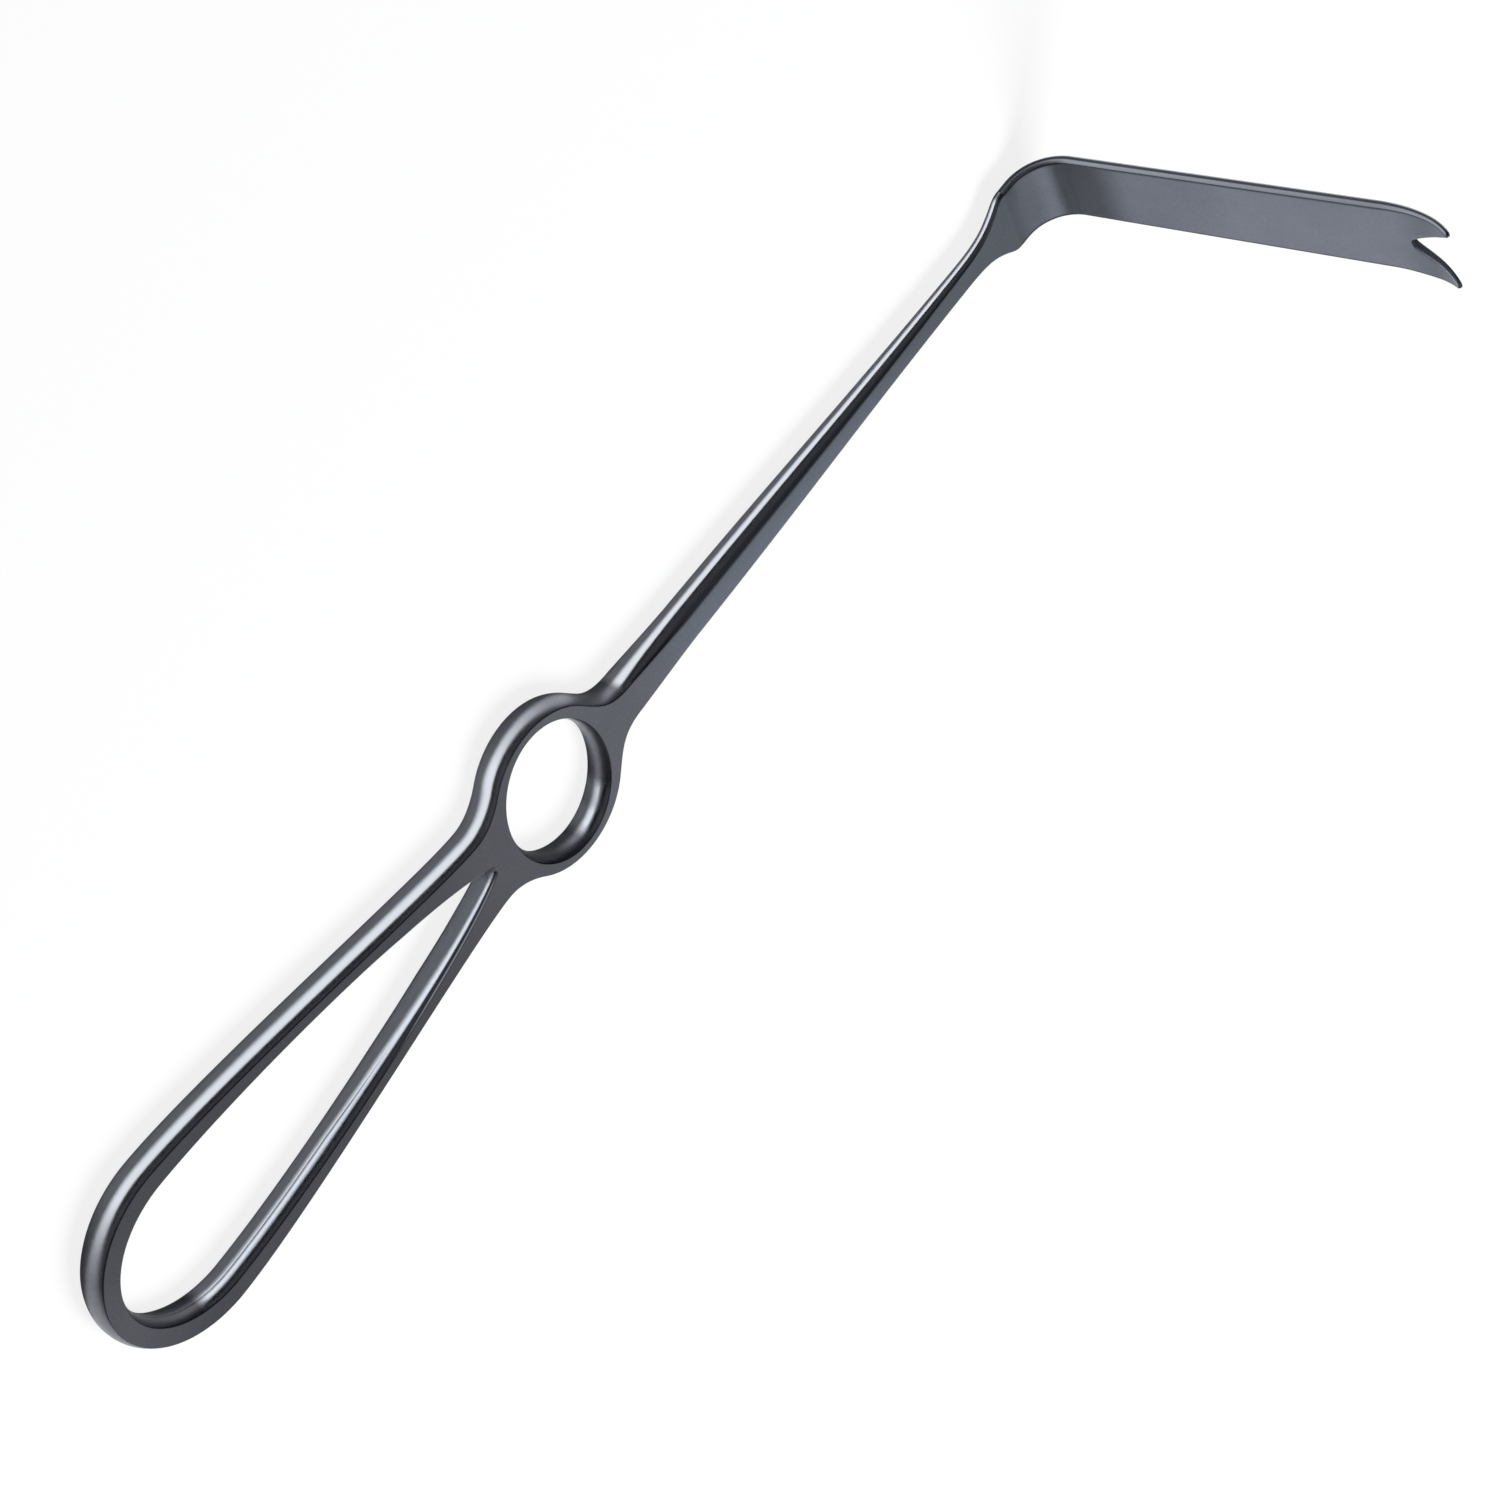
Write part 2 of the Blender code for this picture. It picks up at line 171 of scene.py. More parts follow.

# How far each side is polished, as shares at places along it: travel from the end of the bow, travel
# round the ring from the neck, turn round the hole from the neck, and place along the shank. Round the
# hole the share rises and dips to paint bright glints and a darker patch on the wall.
LOOP_OUTER_POLISH = ((9.0 * MM, 0.0), (13.0 * MM, 0.22), (20.0 * MM, 1.0))
LOOP_INNER_POLISH = ((16.8 * MM, 0.0), (19.2 * MM, 1.0), (86.2 * MM, 1.0), (87.6 * MM, 0.0))
RING_POLISH = ((1.0 * MM, 1.0), (2.2 * MM, 0.0), (16.0 * MM, 0.05), (22.0 * MM, 0.6), (27.0 * MM, 1.0))
# Painted glints: the hole's share rises, dips and rises again to draw bright glints with a darker patch
# between
HOLE_POLISH_AND_GLINTS = ((0.78, 0.0), (0.95, 0.9), (1.15, 0.6), (1.25, 1.0), (1.42, 1.0), (1.60, 0.05))
SHANK_POLISH = ((105.9 * MM, 1.0), (106.6 * MM, 0.0))

# The loop's inner wall against travel from the end of the bow. The fine line fades out, but its share
# stays above 0, so that every section has the same points. Towards the crotch the wall leans back by a
# draft, and its widest line moves to the front by a share of half the depth
LOOP_GROOVE = ((50.0 * MM, 1.0), (70.0 * MM, 0.01))
LOOP_DRAFT = ((60.0 * MM, 0.0), (72.0 * MM, 0.2 * MM), (82.0 * MM, 0.8 * MM), (92.0 * MM, 1.8 * MM))
LOOP_SKEW = ((46.0 * MM, 0.0), (72.0 * MM, 0.44), (92.0 * MM, 0.46))

# The satin's colours along each piece, blended from stop to stop: travel from the end of the bow, travel
# round the finger hole from the neck, place along the shank, and travel from the shoulder to the tips.
# The blade's brighter stop where the elbow starts is a painted sheen, not a colour of the steel.
LOOP_SATIN = ((0.0, "bow_satin"), (22.0 * MM, "loop_satin"), (70.0 * MM, "loop_satin"),
              (92.0 * MM, "crotch_satin"))
RING_SATIN = ((10.0 * MM, "ring_satin"), (26.0 * MM, "crotch_satin"))
SHANK_SATIN = ((NECK_SEAM, "ring_satin"), (32.0 * MM, "shank_satin"), (60.0 * MM, "shank_satin"),
               (95.0 * MM, "flare_satin"))
BLADE_SATIN_AND_SHEEN = ((0.0, "flare_satin"), (4.0 * MM, "elbow_painted_sheen"), (7.3 * MM, "elbow_painted_sheen"),
               (11.5 * MM, "elbow_dark"), (14.5 * MM, "elbow_dark"), (21.0 * MM, "strip_satin"),
               (28.0 * MM, "strip_satin"), (38.0 * MM, "blade_satin"), (59.0 * MM, "blade_satin"),
               (66.0 * MM, "tine_satin"))

# Roundness at which each side's dark line starts and is full, and then at which its own finish does
LOOP_EDGE = (0.06, 0.3, 0.17, 0.47)
RING_EDGE = (0.06, 0.3, 0.12, 0.42)
SHANK_EDGE = (0.15, 0.5, 0.35, 0.62)
BLADE_EDGE = (0.0, 0.06, 0.25, 0.45)
BLADE_RIM = (0.88, 0.98)

# Roughness of the blasted faces and of the sides
HANDLE_ROUGHNESS = (0.36, 0.16)
SHANK_ROUGHNESS = (0.34, 0.16)
BLADE_ROUGHNESS = (0.38, 0.45)
ROUGHNESS_SPREAD = 0.05

# Patterns of the steel and of the card, with the tones that they run through
GRAIN_WIDTH = 0.35 * MM
GRAIN_TONES = (0.78, 1.22)
BLAST_PASS_WIDTH = 9.0 * MM
BLAST_PASS_RANGE = (0.3, 0.7)
BLAST_PASS_TONES = (0.92, 1.08)
POLISH_LINE_LENGTH = 14.0 * MM
POLISH_LINE_WIDTH = 0.45 * MM
RELIEF_DEPTH = 0.004 * MM
RELIEF_STRENGTH = 0.28
FIBRE_WIDTH = 6.0 * MM
FIBRE_TONE = 0.985

# Stage
CAMERA_PLACE = (-171.91 * MM, 429.99 * MM, 328.73 * MM)
CAMERA_TURN = (math.radians(-34.055), math.radians(-48.637), math.radians(-26.263))
CAMERA_LENS = 99.96
SENSOR_WIDTH = 36.0
FLOOR_REACH = 4.0
FLOOR_STEPS = 8
WHITE_LIFT = 0.85
MIRRORED_LIFT = 0.06
KEY_PLACE = (0.05, -0.82, 0.89)
KEY_SIZE = 0.62
CLIP_NEAR = 0.01
CLIP_FAR = 30.0

# The room, by the parts along X, Y and Z of the direction looked in, and its tones there
CLOTH_Y = (-0.40, -0.72)
HEM_Z = (0.12, 0.32)
HEM_TONE = 0.1
CLOTH_TOP_Z = (0.62, 0.85)
CLOTH_TONES = (0.9, 0.5)
LOOP_SIDE_X = (-0.15, -0.5)
LOOP_SIDE_TONE = 1.35
CEILING_Z = (0.88, 0.98)


def hex_to_linear(code):
    """The linear colour of an sRGB hex value such as #8a8f96."""
    channels = [int(code[i:i + 2], 16) / 255 for i in (1, 3, 5)]
    return tuple(c / 12.92 if c <= 0.04045 else ((c + 0.055) / 1.055) ** 2.4 for c in channels)


def length_setting(name, description, default):
    return FloatProperty(name=name, description=description, default=default, unit="LENGTH", precision=5)


def colour_setting(name, description, code):
    return FloatVectorProperty(name=name, description=description, subtype="COLOR", min=0.0, max=1.0,
                               default=hex_to_linear(code))


class RetractorHandleSizes(bpy.types.PropertyGroup):
    """Sizes of the finger ring and the loop, which are one bar deep."""
    depth: length_setting("Depth", "Depth of the handle's bar from front to back", RING_HIGH.z)
    crown: length_setting("Crown", "How far the round sides bulge past the flat faces", HANDLE_CROWN)
    ring_length: length_setting("Ring length", "Length of the ring's face along the handle", 23.2 * MM)
    ring_width: length_setting("Ring width", "Width of the ring's face across the handle", 26.6 * MM)
    hole_length: length_setting("Hole length", "Length of the finger hole along the handle", 19.1 * MM)
    hole_width: length_setting("Hole width", "Width of the finger hole across the handle", 24.5 * MM)
    loop_reach: length_setting("Loop reach", "From the ring's centre to the end of the loop's face",
                               CENTRE_X - LOOP_LOW.x - HANDLE_CROWN)
    loop_width: length_setting("Loop width", "Width of the loop's face across the bow",
                               LOOP_HIGH.y - LOOP_LOW.y - 2 * HANDLE_CROWN)
    bow_bar: length_setting("Bow bar", "Width of the bar's face at the end of the bow", 2.55 * MM)
    shoulder_bar: length_setting("Shoulder bar", "Width of the bar's face at the bow's widest", 2.6 * MM)
    parting_groove: length_setting("Parting groove", "Depth of the fine line inside the loop", 0.05 * MM)


class RetractorShankSizes(bpy.types.PropertyGroup):
    """Sizes of the shank and its flare."""
    neck_width: length_setting("Neck width", "Width of the shank at the finger ring", 6.75 * MM)
    waist_width: length_setting("Waist width", "Width of the shank at its narrowest", 4.25 * MM)
    face_crown: length_setting("Face crown", "How far the face falls away to its edges", 0.05 * MM)


class RetractorBladeSizes(bpy.types.PropertyGroup):
    """Sizes of the blade strip and its swallow-tail."""
    root_width: length_setting("Root width", "Width of the strip at the shoulder", 11.55 * MM)
    end_width: length_setting("End width", "Width of the strip before the tines", 13.1 * MM)
    root_depth: length_setting("Root depth", "Depth of the strip at the shoulder", 1.35 * MM)
    depth: length_setting("Depth", "Depth of the strip", 1.45 * MM)
    tip_depth: length_setting("Tip depth", "Depth of the tines at their tips", 0.7 * MM)
    length: length_setting("Length", "Length of the strip from the elbow to the tips", 58.3 * MM)
    elbow_radius: length_setting("Elbow radius", "Radius of the elbow at the strip's middle", 7.5 * MM)
    turn: FloatProperty(name="Turn", description="Angle that the elbow turns the strip through",
                        default=math.radians(77.7), subtype="ANGLE")
    curl_length: length_setting("Curl length", "Length of the curled stretch", 7.5 * MM)
    curl_radius: length_setting("Curl radius", "Radius of the curled stretch", 28.5 * MM)
    hook_length: length_setting("Hook length", "Length of the hooked stretch at the tips", 4.3 * MM)
    hook_radius: length_setting("Hook radius", "Radius of the hooked stretch", 10.35 * MM)
    notch_depth: length_setting("Notch depth", "Depth of the notch between the tines", 7.5 * MM)


class RetractorFinish(bpy.types.PropertyGroup):
    """Colours of the steel and of the stage."""
    loop_satin: colour_setting("Loop satin", "Blasted faces of the loop", "#696b71")
    bow_satin: colour_setting("Bow satin", "Blasted face at the end of the loop", "#7a7b82")
    ring_satin: colour_setting("Ring satin", "Blasted faces of the ring at its neck", "#8a8c94")
    crotch_satin: colour_setting("Crotch satin", "Blasted faces where the loop meets the ring", "#7b7d84")
    shank_satin: colour_setting("Shank satin", "Blasted faces of the shank", "#8f97a3")
    flare_satin: colour_setting("Flare satin", "Blasted faces of the flare and of the run-in", "#7c828b")
    # Painted sheen: the strip is drawn brighter where the elbow starts
    elbow_painted_sheen: colour_setting("Elbow satin", "Brighter steel where the elbow starts", "#969ca7")
    elbow_dark: colour_setting("Elbow dark", "Darker band on the strip just past the elbow", "#45484f")
    strip_satin: colour_setting("Strip satin", "Blasted faces where the dark band fades out", "#6b707a")
    blade_satin: colour_setting("Blade satin", "Blasted faces of the blade", "#717680")
    tine_satin: colour_setting("Tine satin", "Blasted faces of the tines", "#5a5e67")
    polished: colour_setting("Polished", "Polished round sides", "#dde1e8")
    # Also drawn on the notch's wall, where the bright colour is partly painted light over its shade
    dressed_and_painted_light: colour_setting("Dressed", "Lightly dressed edges of the blade", "#a6abb5")
    dark_line: colour_setting("Dark line", "Line where the side meets the blasted face", "#3a3b40")
    edge_line: colour_setting("Edge line", "Darker line beside the dressed edges", "#4c4e54")
    floor: colour_setting("Floor", "White card on the floor", "#f6f7f8")
    sky_far: colour_setting("Far side of the room", "Pale cloth hung beyond the instrument", "#d4d5d8")
    sky_near: colour_setting("Near side of the room", "Dark room behind the camera", "#3d3e42")
    ceiling: colour_setting("Ceiling", "Grey ceiling straight above the instrument", "#8e9094")
    key_watts: FloatProperty(name="Key lamp", description="Power of the soft lamp", default=21.0,
                             unit="POWER")


def towards(point, angle, distance):
    """The point at a distance from another, along an angle."""
    return (point[0] + distance * math.cos(angle), point[1] + distance * math.sin(angle))


def even(steps):
    """Shares from 0 to 1 in even steps."""
    return np.linspace(0.0, 1.0, steps + 1)


def seamed(steps):
    """Shares from 0 to 1, with a very short step at each end that keeps a seam's shading true."""
    return np.concatenate([[0.0, SEAM_SHARE], even(steps)[1:-1], [1.0 - SEAM_SHARE, 1.0]])


def bezier(start, start_handle, end_handle, end, shares):
    """Points along a cubic curve at shares of its parameter."""
    t = np.asarray(shares)[:, None]
    a, b, c, d = (np.array(p) for p in (start, start_handle, end_handle, end))
    return (1 - t) ** 3 * a + 3 * (1 - t) ** 2 * t * b + 3 * (1 - t) * t ** 2 * c + t ** 3 * d


def oval(centre_x, reach_x, reach_y, start, end, steps):
    """Points along an oval from one parameter angle to another."""
    angles = np.linspace(start, end, steps + 1)
    return np.stack([centre_x + reach_x * np.cos(angles), reach_y * np.sin(angles)], axis=1)


def joined(*runs):
    """Runs of points end to end, with each shared end kept once."""
    return np.concatenate([runs[0]] + [run[1:] for run in runs[1:]])


def left_normals(points, first, last):
    """The unit normal on the left of the way along a line of points."""
    way = np.gradient(points, axis=0)
    normal = np.stack([-way[:, 1], way[:, 0]], axis=1)
    normal[0] = first
    normal[-1] = last
    return normal / np.linalg.norm(normal, axis=1)[:, None]


def travelled(points):
    """The distance covered at each point of a line."""
    return np.concatenate([[0.0], np.cumsum(np.linalg.norm(np.diff(points, axis=0), axis=1))])


def height_at(points, x):
    return float(np.interp(x, points[:, 0], points[:, 1]))


def share_at(stops, x):
    """A share that runs straight from each stop to the next."""
    return float(np.interp(x, *zip(*stops)))


def arc_side(half_depth, crown, turn, steps, groove=0.0, draft=0.0, skew=0.0):
    """A side from its front edge to its back edge: reach past the face's edge, height and roundness.

    It is one wide arc with a small corner arc at each edge, each tangent to the next. The slope at
    the edges is turn. A groove of that depth runs just in front of the middle, where one is asked for,
    and has points of its own. Draft is how much less far the back edge reaches than the front edge, and
    skew is how far the widest line moves towards the front, as a share of half the depth."""
    corner = min(CORNER_RADIUS, CORNER_SHARE * crown)
    back = crown + corner * math.cos(turn)
    rise = half_depth - corner * math.sin(turn)
    radius = (back ** 2 + rise ** 2 - corner ** 2) / (2 * (back - corner))
    edge = min(math.atan2(rise, radius - back), turn)
    middle = np.linspace(edge, -edge, steps + 1)
    if groove > 0.0:
        across = np.linspace(GROOVE_REACH, -GROOVE_REACH, GROOVE_STEPS + 1)
        close = np.arcsin((GROOVE_PLACE + across) / radius)
        apart = middle[(middle > close[0] + GROOVE_CLEARANCE) | (middle < close[-1] - GROOVE_CLEARANCE)]
        middle = np.sort(np.concatenate([apart, close]))[::-1]
    bend = np.linspace(turn, edge, CORNER_STEPS + 1)[:-1]
    slopes = np.concatenate([bend, middle, -bend[::-1]])
    wide = np.clip(slopes, -edge, edge)
    reach = crown - radius * (1 - np.cos(wide)) - corner * (np.cos(wide) - np.cos(slopes))
    height = radius * np.sin(wide) + corner * (np.sin(slopes) - np.sin(wide))
    roundness = np.sqrt(np.maximum(1.0 - (height / half_depth) ** 2, EDGE_ROUNDNESS ** 2))
    reach = reach - groove * np.exp(-((height - GROOVE_PLACE) / GROOVE_WIDTH) ** 2)
    height = height + skew * half_depth * (1.0 - (height / half_depth) ** 2)
    return reach - draft * (0.5 - 0.5 * height / half_depth), height, roundness


def side_points(point, normal, side, share):
    """One side as places along a normal, with its reach scaled by a share."""
    reach, height, _ = side
    x = point[0] + normal[0] * reach * share
    y = point[1] + normal[1] * reach * share
    return np.stack([x, y, height], axis=1)


class Loft:
    """Sections of places, roundness and polish, collected in order along a bar."""

    def __init__(self):
        self.sections = []

    def add(self, places, roundness, polish):
        self.sections.append((places, roundness, polish))

    def mesh_object(self, name, material, ring, caps, along):
        """The mirrored object, with its roundness, polish, travel and girth kept as attributes."""
        bm = bmesh.new()
        layers = [bm.verts.layers.float.new(label) for label in ("roundness", "polish", "girth", "travel")]
        rows = []
        for (places, roundness, polish), travel in zip(self.sections, along):
            row = []
            for place, *values in zip(places, roundness, polish, travelled(places)):
                vert = bm.verts.new((place[0] + CENTRE_X, place[1], place[2] + CENTRE_Z))
                for layer, value in zip(layers, (*values, travel)):
                    vert[layer] = value
                row.append(vert)
            rows.append(row)
        for near, far in zip(rows[:-1], rows[1:]):
            count = len(near) if ring else len(rows[0])
            for i in range(count if ring else count - 1):
                j = (i + 1) % count
                bm.faces.new((near[i], near[j], far[j], far[i]))
        for row in caps(rows):
            bm.faces.new(row)
        bmesh.ops.remove_doubles(bm, verts=bm.verts, dist=MERGE_DISTANCE)
        bmesh.ops.recalc_face_normals(bm, faces=bm.faces)
        mesh = bpy.data.meshes.new(name)
        bm.to_mesh(mesh)
        bm.free()
        mesh.materials.append(material)
        mesh.shade_smooth()
        mesh.set_sharp_from_angle(angle=SHARP_ANGLE)
        piece = bpy.data.objects.new(name, mesh)
        bpy.context.scene.collection.objects.link(piece)
        mirror = piece.modifiers.new("other_half", "MIRROR")
        mirror.use_axis = (False, True, False)
        mirror.use_clip = True
        mirror.merge_threshold = MERGE_DISTANCE
        return piece


def bar_section(outer, outer_normal, share, inner, inner_normal, sizes, inside, polish):
    """A closed section of the handle's bar, with a line just inside each edge of its flat faces.

    The outer side bulges by a share of the crown. Inside holds the inner side's groove, draft and skew.
    Polish is the outer and the inner side's share of polish; round the ring's hole it also paints glints."""
    outer_side = arc_side(sizes.depth / 2, sizes.crown, math.pi / 2, SIDE_STEPS)
    inner_side = arc_side(sizes.depth / 2, sizes.crown, math.pi / 2, SIDE_STEPS, *inside)
    outer_row = side_points(outer, outer_normal, outer_side, share)
    inner_row = side_points(inner, inner_normal, inner_side, 1.0)
    across = np.array([inner[0] - outer[0], inner[1] - outer[1], 0.0])
    inset = across * (FACE_INSET / np.linalg.norm(across))
    places = [outer_row, [outer_row[-1] + inset, inner_row[-1] - inset],
              inner_row[::-1], [inner_row[0] - inset, outer_row[0] + inset]]
    rounds = [outer_side[2], [0.0, 0.0], inner_side[2][::-1], [0.0, 0.0]]
    polishes_and_glints = [np.full_like(outer_side[2], polish[0]), [0.0, 0.0],
                np.full_like(inner_side[2], polish[1]), [0.0, 0.0]]
    return np.concatenate(places), np.concatenate(rounds), np.concatenate(polishes_and_glints)


def neck_half_width(handle, shank):
    return shank.neck_width / 2 - handle.crown


def ring_outline(handle, shank):
    """The ring's outer edge from the shank seam round to the crotch seam."""
    reach_x = handle.ring_length / 2
    reach_y = handle.ring_width / 2
    leave = math.acos(NECK_TURN_X / reach_x)
    arrive = math.acos(-CROTCH_TURN_X / reach_x)
    around = oval(0.0, reach_x, reach_y, leave, arrive, RING_STEPS)
    leave_way = math.atan2(reach_y * math.cos(leave), -reach_x * math.sin(leave))
    arrive_way = math.atan2(reach_y * math.cos(arrive), -reach_x * math.sin(arrive))
    neck = (NECK_SEAM, neck_half_width(handle, shank))
    crotch = (-CROTCH_SEAM, CROTCH_WIDTH / 2)
    from_neck = bezier(neck, towards(neck, math.pi, NECK_BLEND),
                       towards(around[0], leave_way, -NECK_BLEND), around[0], seamed(BLEND_STEPS))
    to_crotch = bezier(around[-1], towards(around[-1], arrive_way, CROTCH_BLEND),
                       towards(crotch, CROTCH_FLARE, CROTCH_BLEND), crotch, seamed(BLEND_STEPS))
    return joined(from_neck, around, to_crotch)


def hole_edge(outer, handle):
    """The point and inward normal on the ring's hole in line with a point of the outer edge."""
    reach_x = handle.hole_length / 2
    reach_y = handle.hole_width / 2
    angle = math.atan2(outer[1] / reach_y, outer[0] / reach_x)
    point = np.array([reach_x * math.cos(angle), reach_y * math.sin(angle)])
    normal = np.array([-math.cos(angle) / reach_x, -math.sin(angle) / reach_y])
    return point, normal / np.linalg.norm(normal)


def no_caps(rows):
    return []


def finger_ring(handle, shank, material):
    """The finger ring, lofted round its hole as one bar of changing width."""
    outline = ring_outline(handle, shank)
    outward = -left_normals(outline, (0.0, -1.0), (0.0, -1.0))
    around = travelled(outline)
    loft = Loft()
    line = []

    def add(outer, normal, share, travel):
        inner, inward = hole_edge(outer, handle)
        turn = math.atan2(inner[1], inner[0])
        polish = (share_at(RING_POLISH, travel), share_at(HOLE_POLISH_AND_GLINTS, turn))
        loft.add(*bar_section(outer, normal, share, inner, inward, handle, (), polish))
        line.append(inner)

    for k in range(SEAM_STEPS):
        add((NECK_SEAM, neck_half_width(handle, shank) * k / SEAM_STEPS), (1.0, 0.0), 0.0, 0.0)
    for point, normal, travel in zip(outline, outward, around):
        add(point, normal, 1.0, travel)
    for k in range(SEAM_STEPS, 0, -1):
        add((-CROTCH_SEAM, CROTCH_WIDTH / 2 * (k - 1) / SEAM_STEPS), (-1.0, 0.0), 0.0, around[-1])
    return loft.mesh_object("finger_ring_steel", material, True, no_caps, travelled(np.array(line)))


def loop_outer(handle):
    """The loop's outer edge from the end of the bow to the crotch seam."""
    radius = handle.loop_width / 2
    centre = -(handle.loop_reach - radius)
    bow = oval(centre, radius, radius, math.pi, math.pi / 2, BOW_STEPS)
    crotch = (-CROTCH_SEAM, CROTCH_WIDTH / 2)
    leg = bezier(bow[-1], towards(bow[-1], 0.0, LEG_BOW_REACH),
                 towards(crotch, CROTCH_FLARE, -LEG_CROTCH_REACH), crotch, seamed(LEG_STEPS))
    return joined(bow, leg)


def loop_gap(handle):
    """The edge of the loop's opening from the end of the bow to its narrow end at the crotch."""
    centre = -(handle.loop_reach - handle.loop_width / 2) + BOW_CENTRE_SHIFT
    reach_x = handle.loop_reach - handle.bow_bar + centre
    reach_y = handle.loop_width / 2 - handle.shoulder_bar
    bow = oval(centre, reach_x, reach_y, math.pi, math.pi / 2, BOW_STEPS)
    crotch = (-CROTCH_SEAM, handle.crown + CROTCH_SLOT / 2)
    side = bezier(bow[-1], towards(bow[-1], 0.0, GAP_BOW_REACH),
                  towards(crotch, math.pi - GAP_CROTCH_ANGLE, GAP_CROTCH_REACH / math.cos(GAP_CROTCH_ANGLE)),
                  crotch, seamed(LEG_STEPS))
    return joined(bow, side)


def last_row(rows):
    return [rows[-1]]


def loop_handle(handle, material):
    """The open loop: one bar bent round the bow, with a fine line down its inner wall.

    Towards the crotch the inner wall leans back, so that it is seen less from the front."""
    outer = loop_outer(handle)
    inner = loop_gap(handle)
    outward = left_normals(outer, (-1.0, 0.0), (0.0, 1.0))
    inward = -left_normals(inner, (-1.0, 0.0), (0.0, 1.0))
    along = travelled(outer)
    loft = Loft()
    for i, travel in enumerate(along):
        polish = (share_at(LOOP_OUTER_POLISH, travel), share_at(LOOP_INNER_POLISH, travel))
        inside = (handle.parting_groove * share_at(LOOP_GROOVE, travel), share_at(LOOP_DRAFT, travel),
                  share_at(LOOP_SKEW, travel))
        loft.add(*bar_section(outer[i], outward[i], 1.0, inner[i], inward[i], handle, inside, polish))
    return loft.mesh_object("loop_handle_steel", material, True, last_row, along)


def shank_side(shank, blade):
    """The widest line of the shank from the neck seam over the waist and the flare to the shoulder."""
    neck = (NECK_SEAM, shank.neck_width / 2)
    waist = (WAIST_X, shank.waist_width / 2)
    shoulder = (SHOULDER_X, blade.root_width / 2)
    corner = (SHOULDER_X - SHOULDER_RUN, blade.root_width / 2 - SHOULDER_STEP)
    taper = bezier(neck, towards(neck, 0.0, SHANK_START_REACH),
                   towards(waist, math.pi, SHANK_WAIST_REACH), waist, seamed(TAPER_STEPS))
    flare = bezier(waist, towards(waist, 0.0, FLARE_START_REACH),
                   towards(corner, FLARE_ANGLE, -FLARE_END_REACH), corner, even(FLARE_STEPS))
    rounding = bezier(corner, towards(corner, FLARE_ANGLE, SHOULDER_REACH),
                      towards(shoulder, math.pi, SHOULDER_REACH), shoulder, seamed(ROUNDING_STEPS))
    return joined(taper, flare, rounding)


def shank_depth(handle, blade):
    """Half the shank's depth from the neck seam to the shoulder."""
    start = (NECK_SEAM, handle.depth / 2)
    end = (SHOULDER_X, blade.root_depth / 2)
    return bezier(start, towards(start, 0.0, DEPTH_START_REACH),
                  (end[0] - DEPTH_END_REACH, end[1] + DEPTH_END_RISE), end, even(CURVE_SAMPLES))


def shank_rounding(handle):
    """The crown's share of half the depth: flat-sided as the ring at the neck, fuller along the shank."""
    neck = handle.crown / (handle.depth / 2)
    return np.array([(NECK_SEAM, neck), (NECK_SEAM + SHANK_ROUND_FROM, SHANK_ROUNDING),
                     (WAIST_X, SHANK_ROUNDING), (SHOULDER_X, SHOULDER_ROUNDING)])


def half_section(inner_y, outer_y, half_depth, crown, fall, inset, steps):
    """Half a section across Y: the front face, which may fall away to its edge, one side and the back."""
    edge_y = outer_y - crown
    turn = math.atan2(max(edge_y - inner_y, NARROWEST_FACE), 2 * fall)
    reach, side_z, side_round = arc_side(half_depth - fall, crown, turn, steps)
    shares = even(FACE_STEPS)[:-1]
    face_y = inner_y + shares * (edge_y - inset - inner_y) * FACE_STEPS / (FACE_STEPS - 1)
    face_z = half_depth - fall * shares ** 2
    y = np.concatenate([face_y, edge_y + reach, face_y[::-1]])
    z = np.concatenate([face_z, side_z, -face_z[::-1]])
    flat = np.zeros_like(face_y)
    roundness = np.concatenate([flat, side_round, flat])
    return y, z, roundness


def both_ends(rows):
    return [rows[0], rows[-1]]


def shank_piece(handle, shank, blade, material):
    """The shank, lofted through sections that change from a crowned bar to a thin flat strip."""
    side = shank_side(shank, blade)
    depth = shank_depth(handle, blade)
    rounding = shank_rounding(handle)
    loft = Loft()
    for x, half_width in side:
        half_depth = height_at(depth, x)
        crown = half_depth * height_at(rounding, x)
        reach = (x - NECK_SEAM) / (WAIST_X - NECK_SEAM)
        fall = shank.face_crown * max(math.sin(math.pi * min(max(reach, 0.0), 1.0)), 0.0) ** 0.5
        y, z, roundness = half_section(0.0, half_width, half_depth, crown, fall, FACE_INSET,
                                       SHANK_SIDE_STEPS)
        polish = np.full_like(y, share_at(SHANK_POLISH, x))
        loft.add(np.stack([np.full_like(y, x), y, z], axis=1), roundness, polish)
    return loft.mesh_object("shank_steel", material, False, both_ends, side[:, 0])


def blade_runs(blade):
    """The blade's middle line as stretches of length and turn: run-in, elbow, strip, curl and hook."""
    return [(ELBOW_RUN_IN, 0.0),
            (blade.elbow_radius * blade.turn, blade.turn),
            (blade.length - blade.curl_length - blade.hook_length, 0.0),
            (blade.curl_length, blade.curl_length / blade.curl_radius),
            (blade.hook_length, blade.hook_length / blade.hook_radius)]


def blade_place(blade, travel):
    """The middle line's X, Z and heading at a distance along the strip from the shoulder."""
    x, z, heading = SHOULDER_X, 0.0, 0.0
    for length, turn in blade_runs(blade):
        part = min(max(travel, 0.0), length)
        travel -= length
        bend = turn * part / length
        chord = part if bend == 0.0 else 2 * part / bend * math.sin(bend / 2)
        x += chord * math.cos(heading + bend / 2)
        z += chord * math.sin(heading + bend / 2)
        heading += bend
    return x, z, heading


def strip_length(blade):
    return sum(length for length, _ in blade_runs(blade))


